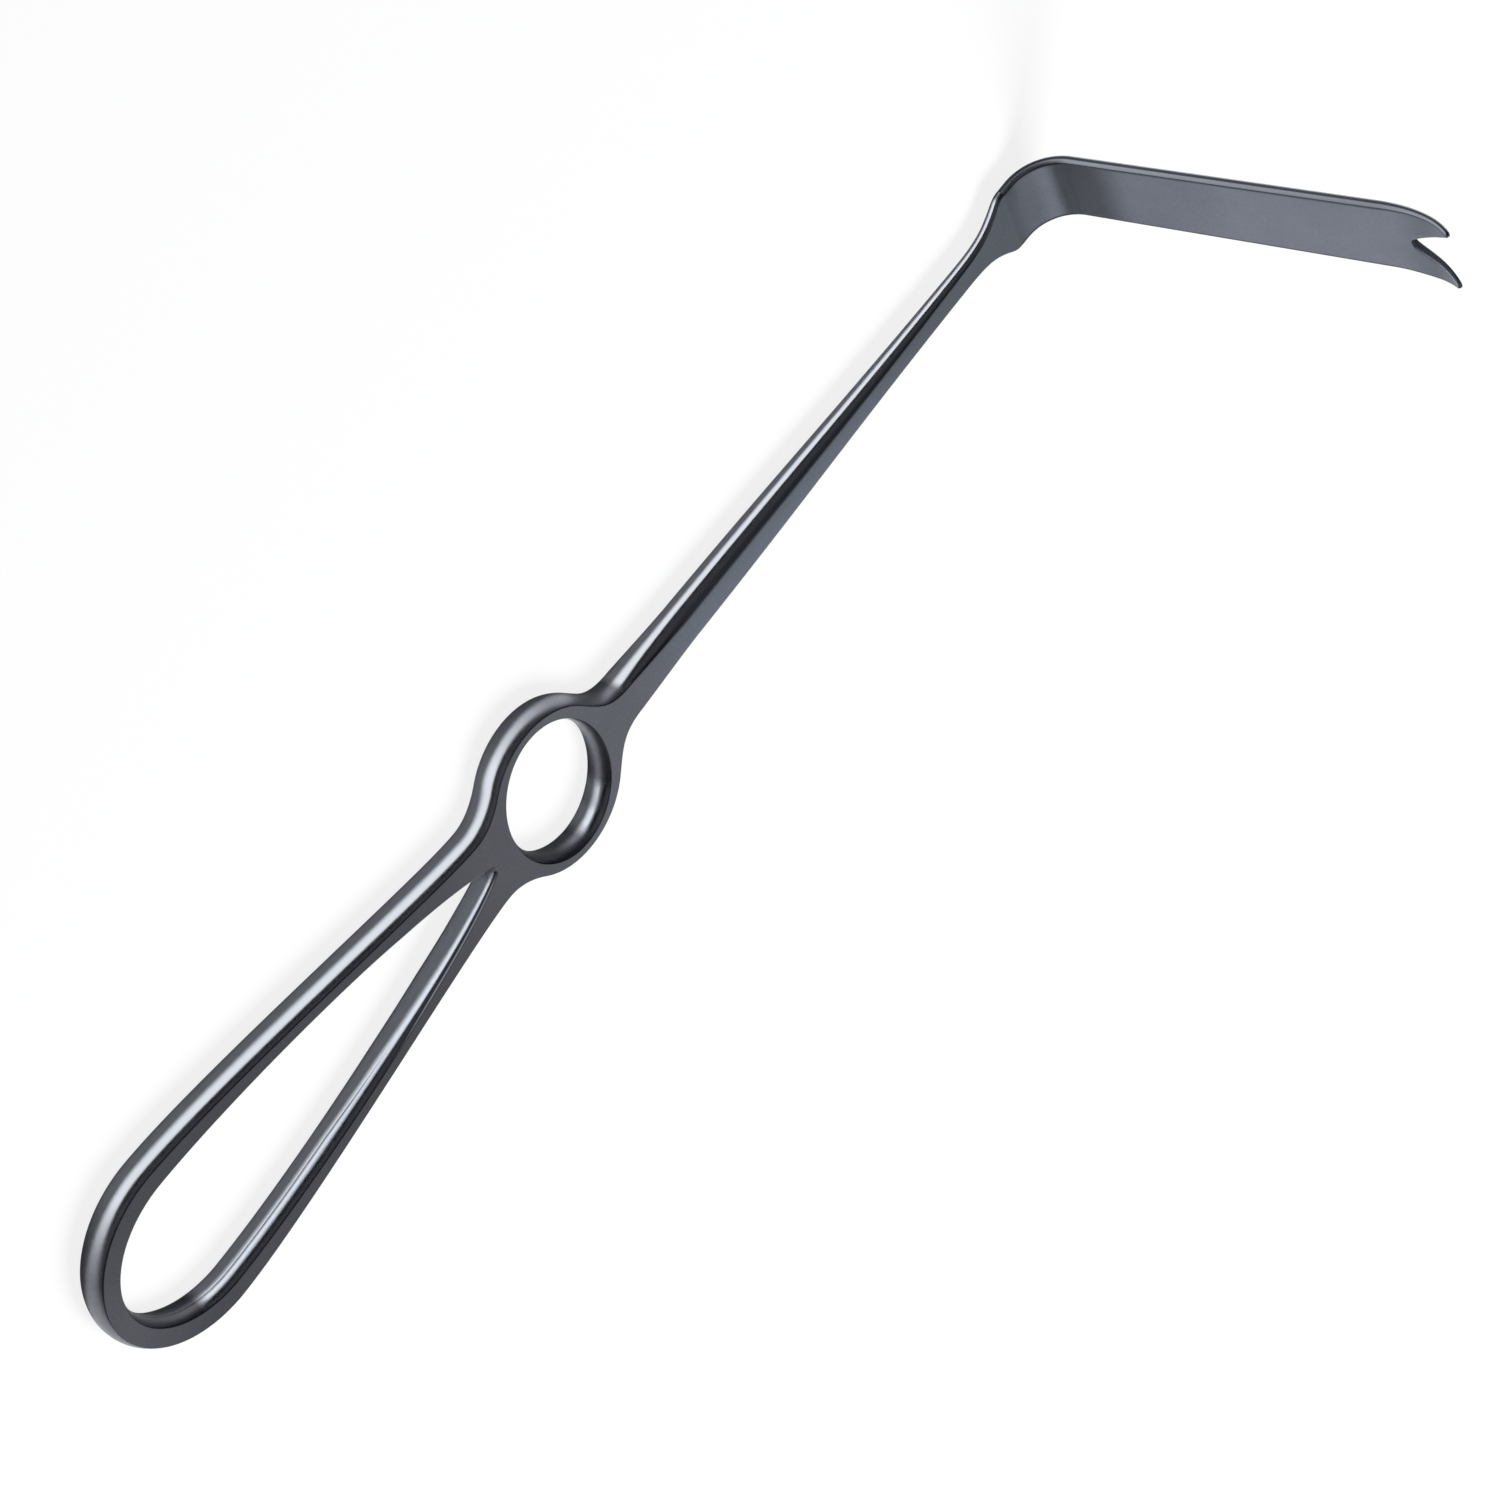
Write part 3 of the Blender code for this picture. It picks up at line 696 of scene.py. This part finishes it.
def blade_outer(blade):
    """Half the strip's width against distance from the shoulder, with the tine's tapered outside."""
    end = strip_length(blade)
    tip = (end, TINE_TIP_Y + TINE_TIP_WIDTH / 2)
    start = (end - TINE_TAPER, blade.end_width / 2)
    taper = bezier(start, towards(start, 0.0, TINE_TAPER_REACH),
                   towards(tip, TINE_TIP_ANGLE, -TINE_TIP_REACH), tip, even(CURVE_SAMPLES))
    return np.concatenate([[(0.0, blade.root_width / 2)], taper])


def blade_notch(blade):
    """The tine's inside against distance from the shoulder, from the notch's round root to its tip."""
    end = strip_length(blade)
    root = (end - blade.notch_depth, 0.0)
    tip = (end, TINE_TIP_Y - TINE_TIP_WIDTH / 2)
    return bezier(root, towards(root, math.pi / 2, NOTCH_ROOT_REACH),
                  towards(tip, NOTCH_TIP_ANGLE, -NOTCH_TIP_REACH), tip, even(CURVE_SAMPLES))


def blade_depth(blade):
    """The strip's full depth against distance from the shoulder."""
    end = strip_length(blade)
    elbow_end = ELBOW_RUN_IN + blade.elbow_radius * blade.turn
    return np.array([(0.0, blade.root_depth), (elbow_end, blade.depth),
                     (end - blade.hook_length - blade.curl_length, blade.depth), (end, blade.tip_depth)])


def blade_travels(blade):
    """Where the strip gets a section, from the shoulder on, and the notch's root. Bends get the most."""
    end = strip_length(blade)
    elbow_end = ELBOW_RUN_IN + blade.elbow_radius * blade.turn
    root = end - blade.notch_depth
    curl = end - blade.hook_length - blade.curl_length
    rounding = end - TINE_TIP_ROUNDING
    fork = root + (rounding - root) * even(FORK_STEPS) ** FORK_CROWDING
    tip = rounding + TINE_TIP_ROUNDING * np.sin(np.linspace(0.0, TINE_TIP_TURN, TIP_STEPS + 1))
    spans = [ELBOW_RUN_IN * seamed(SEAM_STEPS)[:-1],
             np.linspace(ELBOW_RUN_IN, elbow_end, ELBOW_STEPS + 1),
             np.linspace(elbow_end, curl, STRIP_STEPS + 1)[1:],
             np.linspace(curl, root, CURL_STEPS + 1)[1:-1],
             fork, tip[1:]]
    return np.concatenate(spans), root


def tine_inside(inner_y, half_depth, rounding):
    """The notch's wall on a tine: filed square to the faces, with its edges rounded off to both."""
    reach, height = zip(*TINE_INSIDE)
    return inner_y + rounding * np.array(reach), half_depth * np.array(height)


def blade_piece(blade, material):
    """The blade: a flat strip with round edges, notched at the end, bent, curled and hooked.

    The notch's wall is a dressed edge, so it takes the side's finish, and its bright colour there also
    paints light over the shade that the wall mirrors. Each tine is rounded off at its tip."""
    outer = blade_outer(blade)
    notch = blade_notch(blade)
    depth = blade_depth(blade)
    travels, root = blade_travels(blade)
    end = strip_length(blade)
    loft = Loft()
    for travel in travels:
        x, z, heading = blade_place(blade, travel)
        half_depth = height_at(depth, travel) / 2
        inner_y = height_at(notch, travel) if travel > root else 0.0
        outer_y = height_at(outer, travel)
        notch_rounding = min(NOTCH_ROUNDING, NOTCH_ROUNDING_OF_NOTCH * inner_y,
                             NOTCH_ROUNDING_OF_TINE * (outer_y - inner_y))
        y, up, roundness = half_section(inner_y + notch_rounding, outer_y, half_depth,
                                        half_depth * SHOULDER_ROUNDING, 0.0, BLADE_FACE_INSET, EDGE_STEPS)
        if travel >= root:
            inside_y, inside_up = tine_inside(inner_y, half_depth, notch_rounding)
            y = np.concatenate([y, inside_y])
            up = np.concatenate([up, inside_up])
            roundness = np.concatenate([roundness, np.full_like(inside_y, NOTCH_ROUNDNESS)])
            past = max(travel - (end - TINE_TIP_ROUNDING), 0.0) / TINE_TIP_ROUNDING
            shrink = math.sqrt(1.0 - past ** 2)
            middle = (inner_y + outer_y) / 2
            y = middle + shrink * (y - middle)
            up = shrink * up
        places = np.stack([x - up * math.sin(heading), y, z + up * math.cos(heading)], axis=1)
        loft.add(places, roundness, np.ones_like(y))
    return loft.mesh_object("forked_blade_steel", material, False, fork_faces, travels)


def fork_faces(rows):
    """The strip's end at the shoulder, the tine's rounded inside and the tine's tip."""
    faces = [rows[0], rows[-1]]
    solid = len(rows[0])
    for near, far in zip(rows[:-1], rows[1:]):
        if len(near) > solid:
            inside = range(solid - 1, len(near))
            faces += [(near[i], near[(i + 1) % len(near)], far[(i + 1) % len(far)], far[i]) for i in inside]
    return faces


def add_node(tree, kind, settings=None, links=None):
    """Adds a node, sets its properties and unlinked inputs, and links its inputs to other outputs."""
    node = tree.nodes.new(kind)
    for name, value in (settings or {}).items():
        if name in node.bl_rna.properties.keys():
            setattr(node, name, value)
        else:
            node.inputs[name].default_value = value
    for name, output in (links or {}).items():
        tree.links.new(output, node.inputs[name])
    return node


def fresh_material(name):
    material = bpy.data.materials.new(name)
    material.use_nodes = True
    material.node_tree.nodes.clear()
    return material


def satin_and_sheen_colours(finish, stops):
    """The travel and the colour of each stop along a piece."""
    return [(travel, tuple(getattr(finish, name))) for travel, name in stops]


def two_finish_steel(name, satins_and_sheens, side, line, edge_shares, rough, rim=None):
    """Stainless steel with blasted satin faces and round sides that are polished where polish is 1. Round
    the ring's hole that share also paints glints, and on the blade a brighter satin stop paints a sheen.

    Satins are (travel, colour), in order along the bar. Side and line are the colours of the side and
    of the dark line between it and the face, and the edge's shares say at which roundness the line
    starts and is full, and then the side. A rim is the roundness from which the outermost line of the
    side turns dark again, and at which it is full. Rough is the satin's roughness and the side's.

    The grain of the blasting is really about 0.05 mm and is drawn at 0.35 mm to show. Its tone drifts
    over about 9 mm, the width of one pass of the nozzle. The polishing lines run along the bar. They
    are really about 0.1 mm apart and are drawn 0.45 mm apart to show."""
    line_from, line_full, side_from, side_full = edge_shares
    satin_rough, side_rough = rough
    material = fresh_material(name)
    tree = material.node_tree
    place = add_node(tree, "ShaderNodeTexCoord").outputs["Object"]
    roundness, polish, travel, girth = (
        add_node(tree, "ShaderNodeAttribute", {"attribute_name": label}).outputs["Fac"]
        for label in ("roundness", "polish", "travel", "girth"))
    grain = add_node(tree, "ShaderNodeTexNoise", {"Scale": 1 / GRAIN_WIDTH, "Detail": 3.0, "Roughness": 0.6},
                     {"Vector": place}).outputs["Fac"]
    blast_pass = add_node(tree, "ShaderNodeTexNoise", {"Scale": 1 / BLAST_PASS_WIDTH, "Detail": 2.0},
                          {"Vector": place}).outputs["Fac"]
    along = add_node(tree, "ShaderNodeMath", {"operation": "DIVIDE", 1: POLISH_LINE_LENGTH},
                     {0: travel}).outputs[0]
    around = add_node(tree, "ShaderNodeMath", {"operation": "DIVIDE", 1: POLISH_LINE_WIDTH},
                      {0: girth}).outputs[0]
    spot = add_node(tree, "ShaderNodeCombineXYZ", {}, {"X": along, "Y": around}).outputs["Vector"]
    lines = add_node(tree, "ShaderNodeTexNoise", {"Scale": 1.0, "Detail": 2.0},
                     {"Vector": spot}).outputs["Fac"]

    on_side = add_node(tree, "ShaderNodeMapRange",
                       {"interpolation_type": "SMOOTHSTEP", "From Min": side_from, "From Max": side_full},
                       {"Value": roundness}).outputs["Result"]
    bright = add_node(tree, "ShaderNodeMath", {"operation": "MULTIPLY"}, {0: on_side, 1: polish}).outputs[0]
    edge = add_node(tree, "ShaderNodeMapRange",
                    {"interpolation_type": "SMOOTHSTEP", "From Min": line_from, "From Max": line_full},
                    {"Value": roundness}).outputs["Result"]

    reached, satin_and_sheen = satins_and_sheens[0]
    for stop, colour in satins_and_sheens[1:]:
        share = add_node(tree, "ShaderNodeMapRange",
                         {"interpolation_type": "SMOOTHSTEP", "From Min": reached, "From Max": stop},
                         {"Value": travel}).outputs["Result"]
        first = stop == satins_and_sheens[1][0]
        before = {6: (*satin_and_sheen, 1.0)} if first else {}
        linked = {} if first else {6: satin_and_sheen}
        satin_and_sheen = add_node(tree, "ShaderNodeMix", {"data_type": "RGBA", 7: (*colour, 1.0), **before},
                         {0: share, **linked}).outputs[2]
        reached = stop

    shade = add_node(tree, "ShaderNodeMapRange", {"To Min": GRAIN_TONES[0], "To Max": GRAIN_TONES[1]},
                     {"Value": grain}).outputs["Result"]
    drift = add_node(tree, "ShaderNodeMapRange",
                     {"From Min": BLAST_PASS_RANGE[0], "From Max": BLAST_PASS_RANGE[1],
                      "To Min": BLAST_PASS_TONES[0], "To Max": BLAST_PASS_TONES[1]},
                     {"Value": blast_pass}).outputs["Result"]
    both = add_node(tree, "ShaderNodeMath", {"operation": "MULTIPLY"}, {0: shade, 1: drift}).outputs[0]
    grainy = add_node(tree, "ShaderNodeVectorMath", {"operation": "SCALE"},
                      {0: satin_and_sheen, "Scale": both}).outputs["Vector"]
    edged = add_node(tree, "ShaderNodeMix", {"data_type": "RGBA", 7: (*line, 1.0)},
                     {0: edge, 6: grainy}).outputs[2]
    polished = add_node(tree, "ShaderNodeMix", {"data_type": "RGBA", 7: (*side, 1.0)},
                        {0: polish, 6: grainy}).outputs[2]
    colour = add_node(tree, "ShaderNodeMix", {"data_type": "RGBA"},
                      {0: on_side, 6: edged, 7: polished}).outputs[2]
    if rim:
        outermost = add_node(tree, "ShaderNodeMapRange",
                             {"interpolation_type": "SMOOTHSTEP", "From Min": rim[0], "From Max": rim[1]},
                             {"Value": roundness}).outputs["Result"]
        colour = add_node(tree, "ShaderNodeMix", {"data_type": "RGBA", 7: (*line, 1.0)},
                          {0: outermost, 6: colour}).outputs[2]

    rough_satin = add_node(tree, "ShaderNodeMapRange",
                           {"To Min": satin_rough - ROUGHNESS_SPREAD,
                            "To Max": satin_rough + ROUGHNESS_SPREAD},
                           {"Value": blast_pass}).outputs["Result"]
    rough_side = add_node(tree, "ShaderNodeMapRange",
                          {"To Min": side_rough - ROUGHNESS_SPREAD,
                           "To Max": side_rough + ROUGHNESS_SPREAD},
                          {"Value": lines}).outputs["Result"]
    roughness = add_node(tree, "ShaderNodeMix", {"data_type": "FLOAT"},
                         {0: bright, 2: rough_satin, 3: rough_side}).outputs[0]
    relief = add_node(tree, "ShaderNodeMix", {"data_type": "FLOAT"},
                      {0: bright, 2: grain, 3: lines}).outputs[0]
    bump = add_node(tree, "ShaderNodeBump", {"Strength": RELIEF_STRENGTH, "Distance": RELIEF_DEPTH},
                    {"Height": relief}).outputs["Normal"]
    shader = add_node(tree, "ShaderNodeBsdfPrincipled", {"Metallic": 1.0},
                      {"Base Color": colour, "Roughness": roughness, "Normal": bump}).outputs["BSDF"]
    add_node(tree, "ShaderNodeOutputMaterial", {}, {"Surface": shader})
    return material


def loop_steel(finish):
    """Forged stainless steel: blasted dark grey faces, sides polished to a soft mirror along the legs."""
    return two_finish_steel("blasted_and_polished_stainless_loop", satin_and_sheen_colours(finish, LOOP_SATIN),
                            tuple(finish.polished), tuple(finish.dark_line), LOOP_EDGE, HANDLE_ROUGHNESS)


def ring_steel(finish):
    """Forged stainless steel: blasted faces, a polished round outside, and a hole polished in part, with
    painted glints and a darker patch on its wall.
    """
    return two_finish_steel("blasted_and_polished_stainless_ring", satin_and_sheen_colours(finish, RING_SATIN),
                            tuple(finish.polished), tuple(finish.dark_line), RING_EDGE, HANDLE_ROUGHNESS)


def shank_steel(finish):
    """Forged stainless steel: the face is blasted and fades into the polished round of the sides."""
    return two_finish_steel("blasted_and_polished_stainless_shank", satin_and_sheen_colours(finish, SHANK_SATIN),
                            tuple(finish.polished), tuple(finish.dark_line), SHANK_EDGE, SHANK_ROUGHNESS)


def blade_steel(finish):
    """Rolled stainless strip: blasted faces with a fine matt grain, and edges lightly dressed.

    The strip is drawn brighter where the elbow starts, as a painted sheen, and darker just past it."""
    return two_finish_steel("blasted_stainless_blade", satin_and_sheen_colours(finish, BLADE_SATIN_AND_SHEEN),
                            tuple(finish.dressed_and_painted_light), tuple(finish.edge_line), BLADE_EDGE, BLADE_ROUGHNESS,
                            BLADE_RIM)


def floor_material(finish):
    """A matt white card. The camera sees it nearly white all over, with a trace of the shadow.

    The steel mirrors it as white too, with the instrument's own shadow kept nearly whole. The paper's
    fibres clump in clouds about 6 mm across, which show as a faint change of tone."""
    material = fresh_material("matt_white_card")
    tree = material.node_tree
    path = add_node(tree, "ShaderNodeLightPath").outputs
    seen = add_node(tree, "ShaderNodeMath", {"operation": "MULTIPLY", 1: WHITE_LIFT},
                    {0: path["Is Camera Ray"]}).outputs[0]
    through = add_node(tree, "ShaderNodeMath", {"operation": "MAXIMUM"},
                       {0: path["Is Glossy Ray"], 1: path["Is Transmission Ray"]}).outputs[0]
    share = add_node(tree, "ShaderNodeMath", {"operation": "MULTIPLY_ADD", 1: MIRRORED_LIFT},
                     {0: through, 2: seen}).outputs[0]
    place = add_node(tree, "ShaderNodeTexCoord").outputs["Object"]
    fibre = add_node(tree, "ShaderNodeTexNoise", {"Scale": 1 / FIBRE_WIDTH, "Detail": 2.0},
                     {"Vector": place}).outputs["Fac"]
    tone = add_node(tree, "ShaderNodeMapRange", {"To Min": FIBRE_TONE, "To Max": 1.0},
                    {"Value": fibre}).outputs["Result"]
    colour = add_node(tree, "ShaderNodeVectorMath", {"operation": "SCALE", 0: tuple(finish.floor)},
                      {"Scale": tone}).outputs["Vector"]
    card = add_node(tree, "ShaderNodeBsdfDiffuse", {}, {"Color": colour}).outputs["BSDF"]
    lift = add_node(tree, "ShaderNodeEmission",
                    {"Color": (1.0, 1.0, 1.0, 1.0), "Strength": 1.0}).outputs["Emission"]
    mixed = add_node(tree, "ShaderNodeMixShader", {}, {0: share, 1: card, 2: lift}).outputs["Shader"]
    add_node(tree, "ShaderNodeOutputMaterial", {}, {"Surface": mixed})
    return material


def room(finish):
    """A studio: a dark room with a grey ceiling, and pale cloth hung beyond the instrument.

    All of it is brighter on the loop's side, greyer towards the top, and nearly dark below the height
    of the cloth's hem."""
    world = bpy.data.worlds.new("studio_room")
    world.use_nodes = True
    tree = world.node_tree
    tree.nodes.clear()
    way = add_node(tree, "ShaderNodeTexCoord").outputs["Generated"]
    split = add_node(tree, "ShaderNodeSeparateXYZ", {}, {"Vector": way})
    beyond = add_node(tree, "ShaderNodeMapRange",
                      {"interpolation_type": "SMOOTHSTEP", "From Min": CLOTH_Y[0], "From Max": CLOTH_Y[1]},
                      {"Value": split.outputs["Y"]}).outputs["Result"]
    sides = add_node(tree, "ShaderNodeMix",
                     {"data_type": "RGBA", 6: (*finish.sky_near, 1.0), 7: (*finish.sky_far, 1.0)},
                     {0: beyond})
    hem = add_node(tree, "ShaderNodeMapRange",
                   {"interpolation_type": "SMOOTHSTEP", "From Min": HEM_Z[0], "From Max": HEM_Z[1],
                    "To Min": HEM_TONE},
                   {"Value": split.outputs["Z"]}).outputs["Result"]
    height = add_node(tree, "ShaderNodeMapRange",
                      {"interpolation_type": "SMOOTHSTEP", "From Min": CLOTH_TOP_Z[0],
                       "From Max": CLOTH_TOP_Z[1], "To Min": CLOTH_TONES[0], "To Max": CLOTH_TONES[1]},
                      {"Value": split.outputs["Z"]}).outputs["Result"]
    loop_side = add_node(tree, "ShaderNodeMapRange",
                         {"interpolation_type": "SMOOTHSTEP", "From Min": LOOP_SIDE_X[0],
                          "From Max": LOOP_SIDE_X[1], "To Min": 1.0, "To Max": LOOP_SIDE_TONE},
                         {"Value": split.outputs["X"]}).outputs["Result"]
    cloth = add_node(tree, "ShaderNodeMath", {"operation": "MULTIPLY"}, {0: height, 1: hem}).outputs[0]
    level = add_node(tree, "ShaderNodeMath", {"operation": "MULTIPLY"}, {0: cloth, 1: loop_side}).outputs[0]
    shown = add_node(tree, "ShaderNodeVectorMath", {"operation": "SCALE"},
                     {0: sides.outputs[2], "Scale": level}).outputs["Vector"]
    above = add_node(tree, "ShaderNodeMapRange",
                     {"interpolation_type": "SMOOTHSTEP", "From Min": CEILING_Z[0],
                      "From Max": CEILING_Z[1]},
                     {"Value": split.outputs["Z"]}).outputs["Result"]
    topped = add_node(tree, "ShaderNodeMix", {"data_type": "RGBA", 7: (*finish.ceiling, 1.0)},
                      {0: above, 6: shown}).outputs[2]
    light = add_node(tree, "ShaderNodeBackground", {"Strength": 1.0},
                     {"Color": topped}).outputs["Background"]
    add_node(tree, "ShaderNodeOutputWorld", {}, {"Surface": light})
    bpy.context.scene.world = world


def make_floor(finish):
    """A wide card under the instrument."""
    bm = bmesh.new()
    bmesh.ops.create_grid(bm, x_segments=FLOOR_STEPS, y_segments=FLOOR_STEPS, size=FLOOR_REACH)
    mesh = bpy.data.meshes.new("floor")
    bm.to_mesh(mesh)
    bm.free()
    mesh.materials.append(floor_material(finish))
    floor = bpy.data.objects.new("floor", mesh)
    bpy.context.scene.collection.objects.link(floor)


def make_key_lamp(finish):
    """One large soft lamp, high on the far side. The steel mirrors the room and not the lamp."""
    light = bpy.data.lights.new("key_lamp", "AREA")
    light.shape = "DISK"
    light.size = KEY_SIZE
    light.energy = finish.key_watts
    lamp = bpy.data.objects.new("key_lamp", light)
    lamp.location = KEY_PLACE
    lamp.rotation_euler = (-lamp.location).to_track_quat("-Z", "Y").to_euler()
    lamp.visible_glossy = False
    bpy.context.scene.collection.objects.link(lamp)


def make_camera():
    """The camera at the photograph's place, rather more than half a metre from the instrument's middle."""
    data = bpy.data.cameras.new("camera")
    data.lens = CAMERA_LENS
    data.sensor_width = SENSOR_WIDTH
    data.clip_start = CLIP_NEAR
    data.clip_end = CLIP_FAR
    camera = bpy.data.objects.new("camera", data)
    camera.location = CAMERA_PLACE
    camera.rotation_euler = CAMERA_TURN
    bpy.context.scene.collection.objects.link(camera)
    bpy.context.scene.camera = camera


def seat(piece, node):
    """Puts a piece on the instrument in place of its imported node."""
    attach(piece, BODY)
    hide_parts(node)


class RETRACTOR_OT_finger_ring(bpy.types.Operator):
    """Builds the finger ring"""
    bl_idname = "retractor.finger_ring"
    bl_label = "Finger ring"

    def execute(self, context):
        scene = context.scene
        piece = finger_ring(scene.retractor_handle, scene.retractor_shank,
                            ring_steel(scene.retractor_finish))
        seat(piece, "finger_ring")
        return {"FINISHED"}


class RETRACTOR_OT_loop_handle(bpy.types.Operator):
    """Builds the loop handle"""
    bl_idname = "retractor.loop_handle"
    bl_label = "Loop handle"

    def execute(self, context):
        scene = context.scene
        piece = loop_handle(scene.retractor_handle, loop_steel(scene.retractor_finish))
        seat(piece, "loop_handle")
        return {"FINISHED"}


class RETRACTOR_OT_shank(bpy.types.Operator):
    """Builds the shank"""
    bl_idname = "retractor.shank"
    bl_label = "Shank"

    def execute(self, context):
        scene = context.scene
        piece = shank_piece(scene.retractor_handle, scene.retractor_shank, scene.retractor_blade,
                            shank_steel(scene.retractor_finish))
        seat(piece, "shank")
        return {"FINISHED"}


class RETRACTOR_OT_blade(bpy.types.Operator):
    """Builds the forked blade"""
    bl_idname = "retractor.blade"
    bl_label = "Forked blade"

    def execute(self, context):
        scene = context.scene
        piece = blade_piece(scene.retractor_blade, blade_steel(scene.retractor_finish))
        seat(piece, "forked_blade")
        return {"FINISHED"}


class RETRACTOR_OT_stage(bpy.types.Operator):
    """Builds the floor, the lamp, the room and the camera"""
    bl_idname = "retractor.stage"
    bl_label = "Stage"

    def execute(self, context):
        finish = context.scene.retractor_finish
        make_camera()
        make_floor(finish)
        make_key_lamp(finish)
        room(finish)
        context.scene.view_settings.view_transform = "Standard"
        return {"FINISHED"}


class RETRACTOR_PT_panel(bpy.types.Panel):
    """Lists the retractor's sizes, colours and pieces"""
    bl_idname = "RETRACTOR_PT_panel"
    bl_label = "Ramus retractor"
    bl_space_type = "VIEW_3D"
    bl_region_type = "UI"
    bl_category = "Retractor"

    def draw(self, context):
        for group in GROUPS.values():
            settings = getattr(context.scene, group)
            box = self.layout.box()
            for name in settings.__annotations__:
                box.prop(settings, name)
        for operator in OPERATORS:
            self.layout.operator(operator.bl_idname)


GROUPS = {RetractorHandleSizes: "retractor_handle", RetractorShankSizes: "retractor_shank",
          RetractorBladeSizes: "retractor_blade", RetractorFinish: "retractor_finish"}
OPERATORS = (RETRACTOR_OT_stage, RETRACTOR_OT_finger_ring, RETRACTOR_OT_loop_handle, RETRACTOR_OT_shank,
             RETRACTOR_OT_blade)


def register():
    for group, name in GROUPS.items():
        bpy.utils.register_class(group)
        setattr(bpy.types.Scene, name, PointerProperty(type=group))
    for operator in OPERATORS:
        bpy.utils.register_class(operator)
    bpy.utils.register_class(RETRACTOR_PT_panel)


def unregister():
    bpy.utils.unregister_class(RETRACTOR_PT_panel)
    for operator in reversed(OPERATORS):
        bpy.utils.unregister_class(operator)
    for group, name in reversed(GROUPS.items()):
        delattr(bpy.types.Scene, name)
        bpy.utils.unregister_class(group)


def main():
    register()
    bpy.ops.retractor.stage()
    bpy.ops.retractor.finger_ring()
    bpy.ops.retractor.loop_handle()
    bpy.ops.retractor.shank()
    bpy.ops.retractor.blade()


if __name__ == "__main__":
    main()
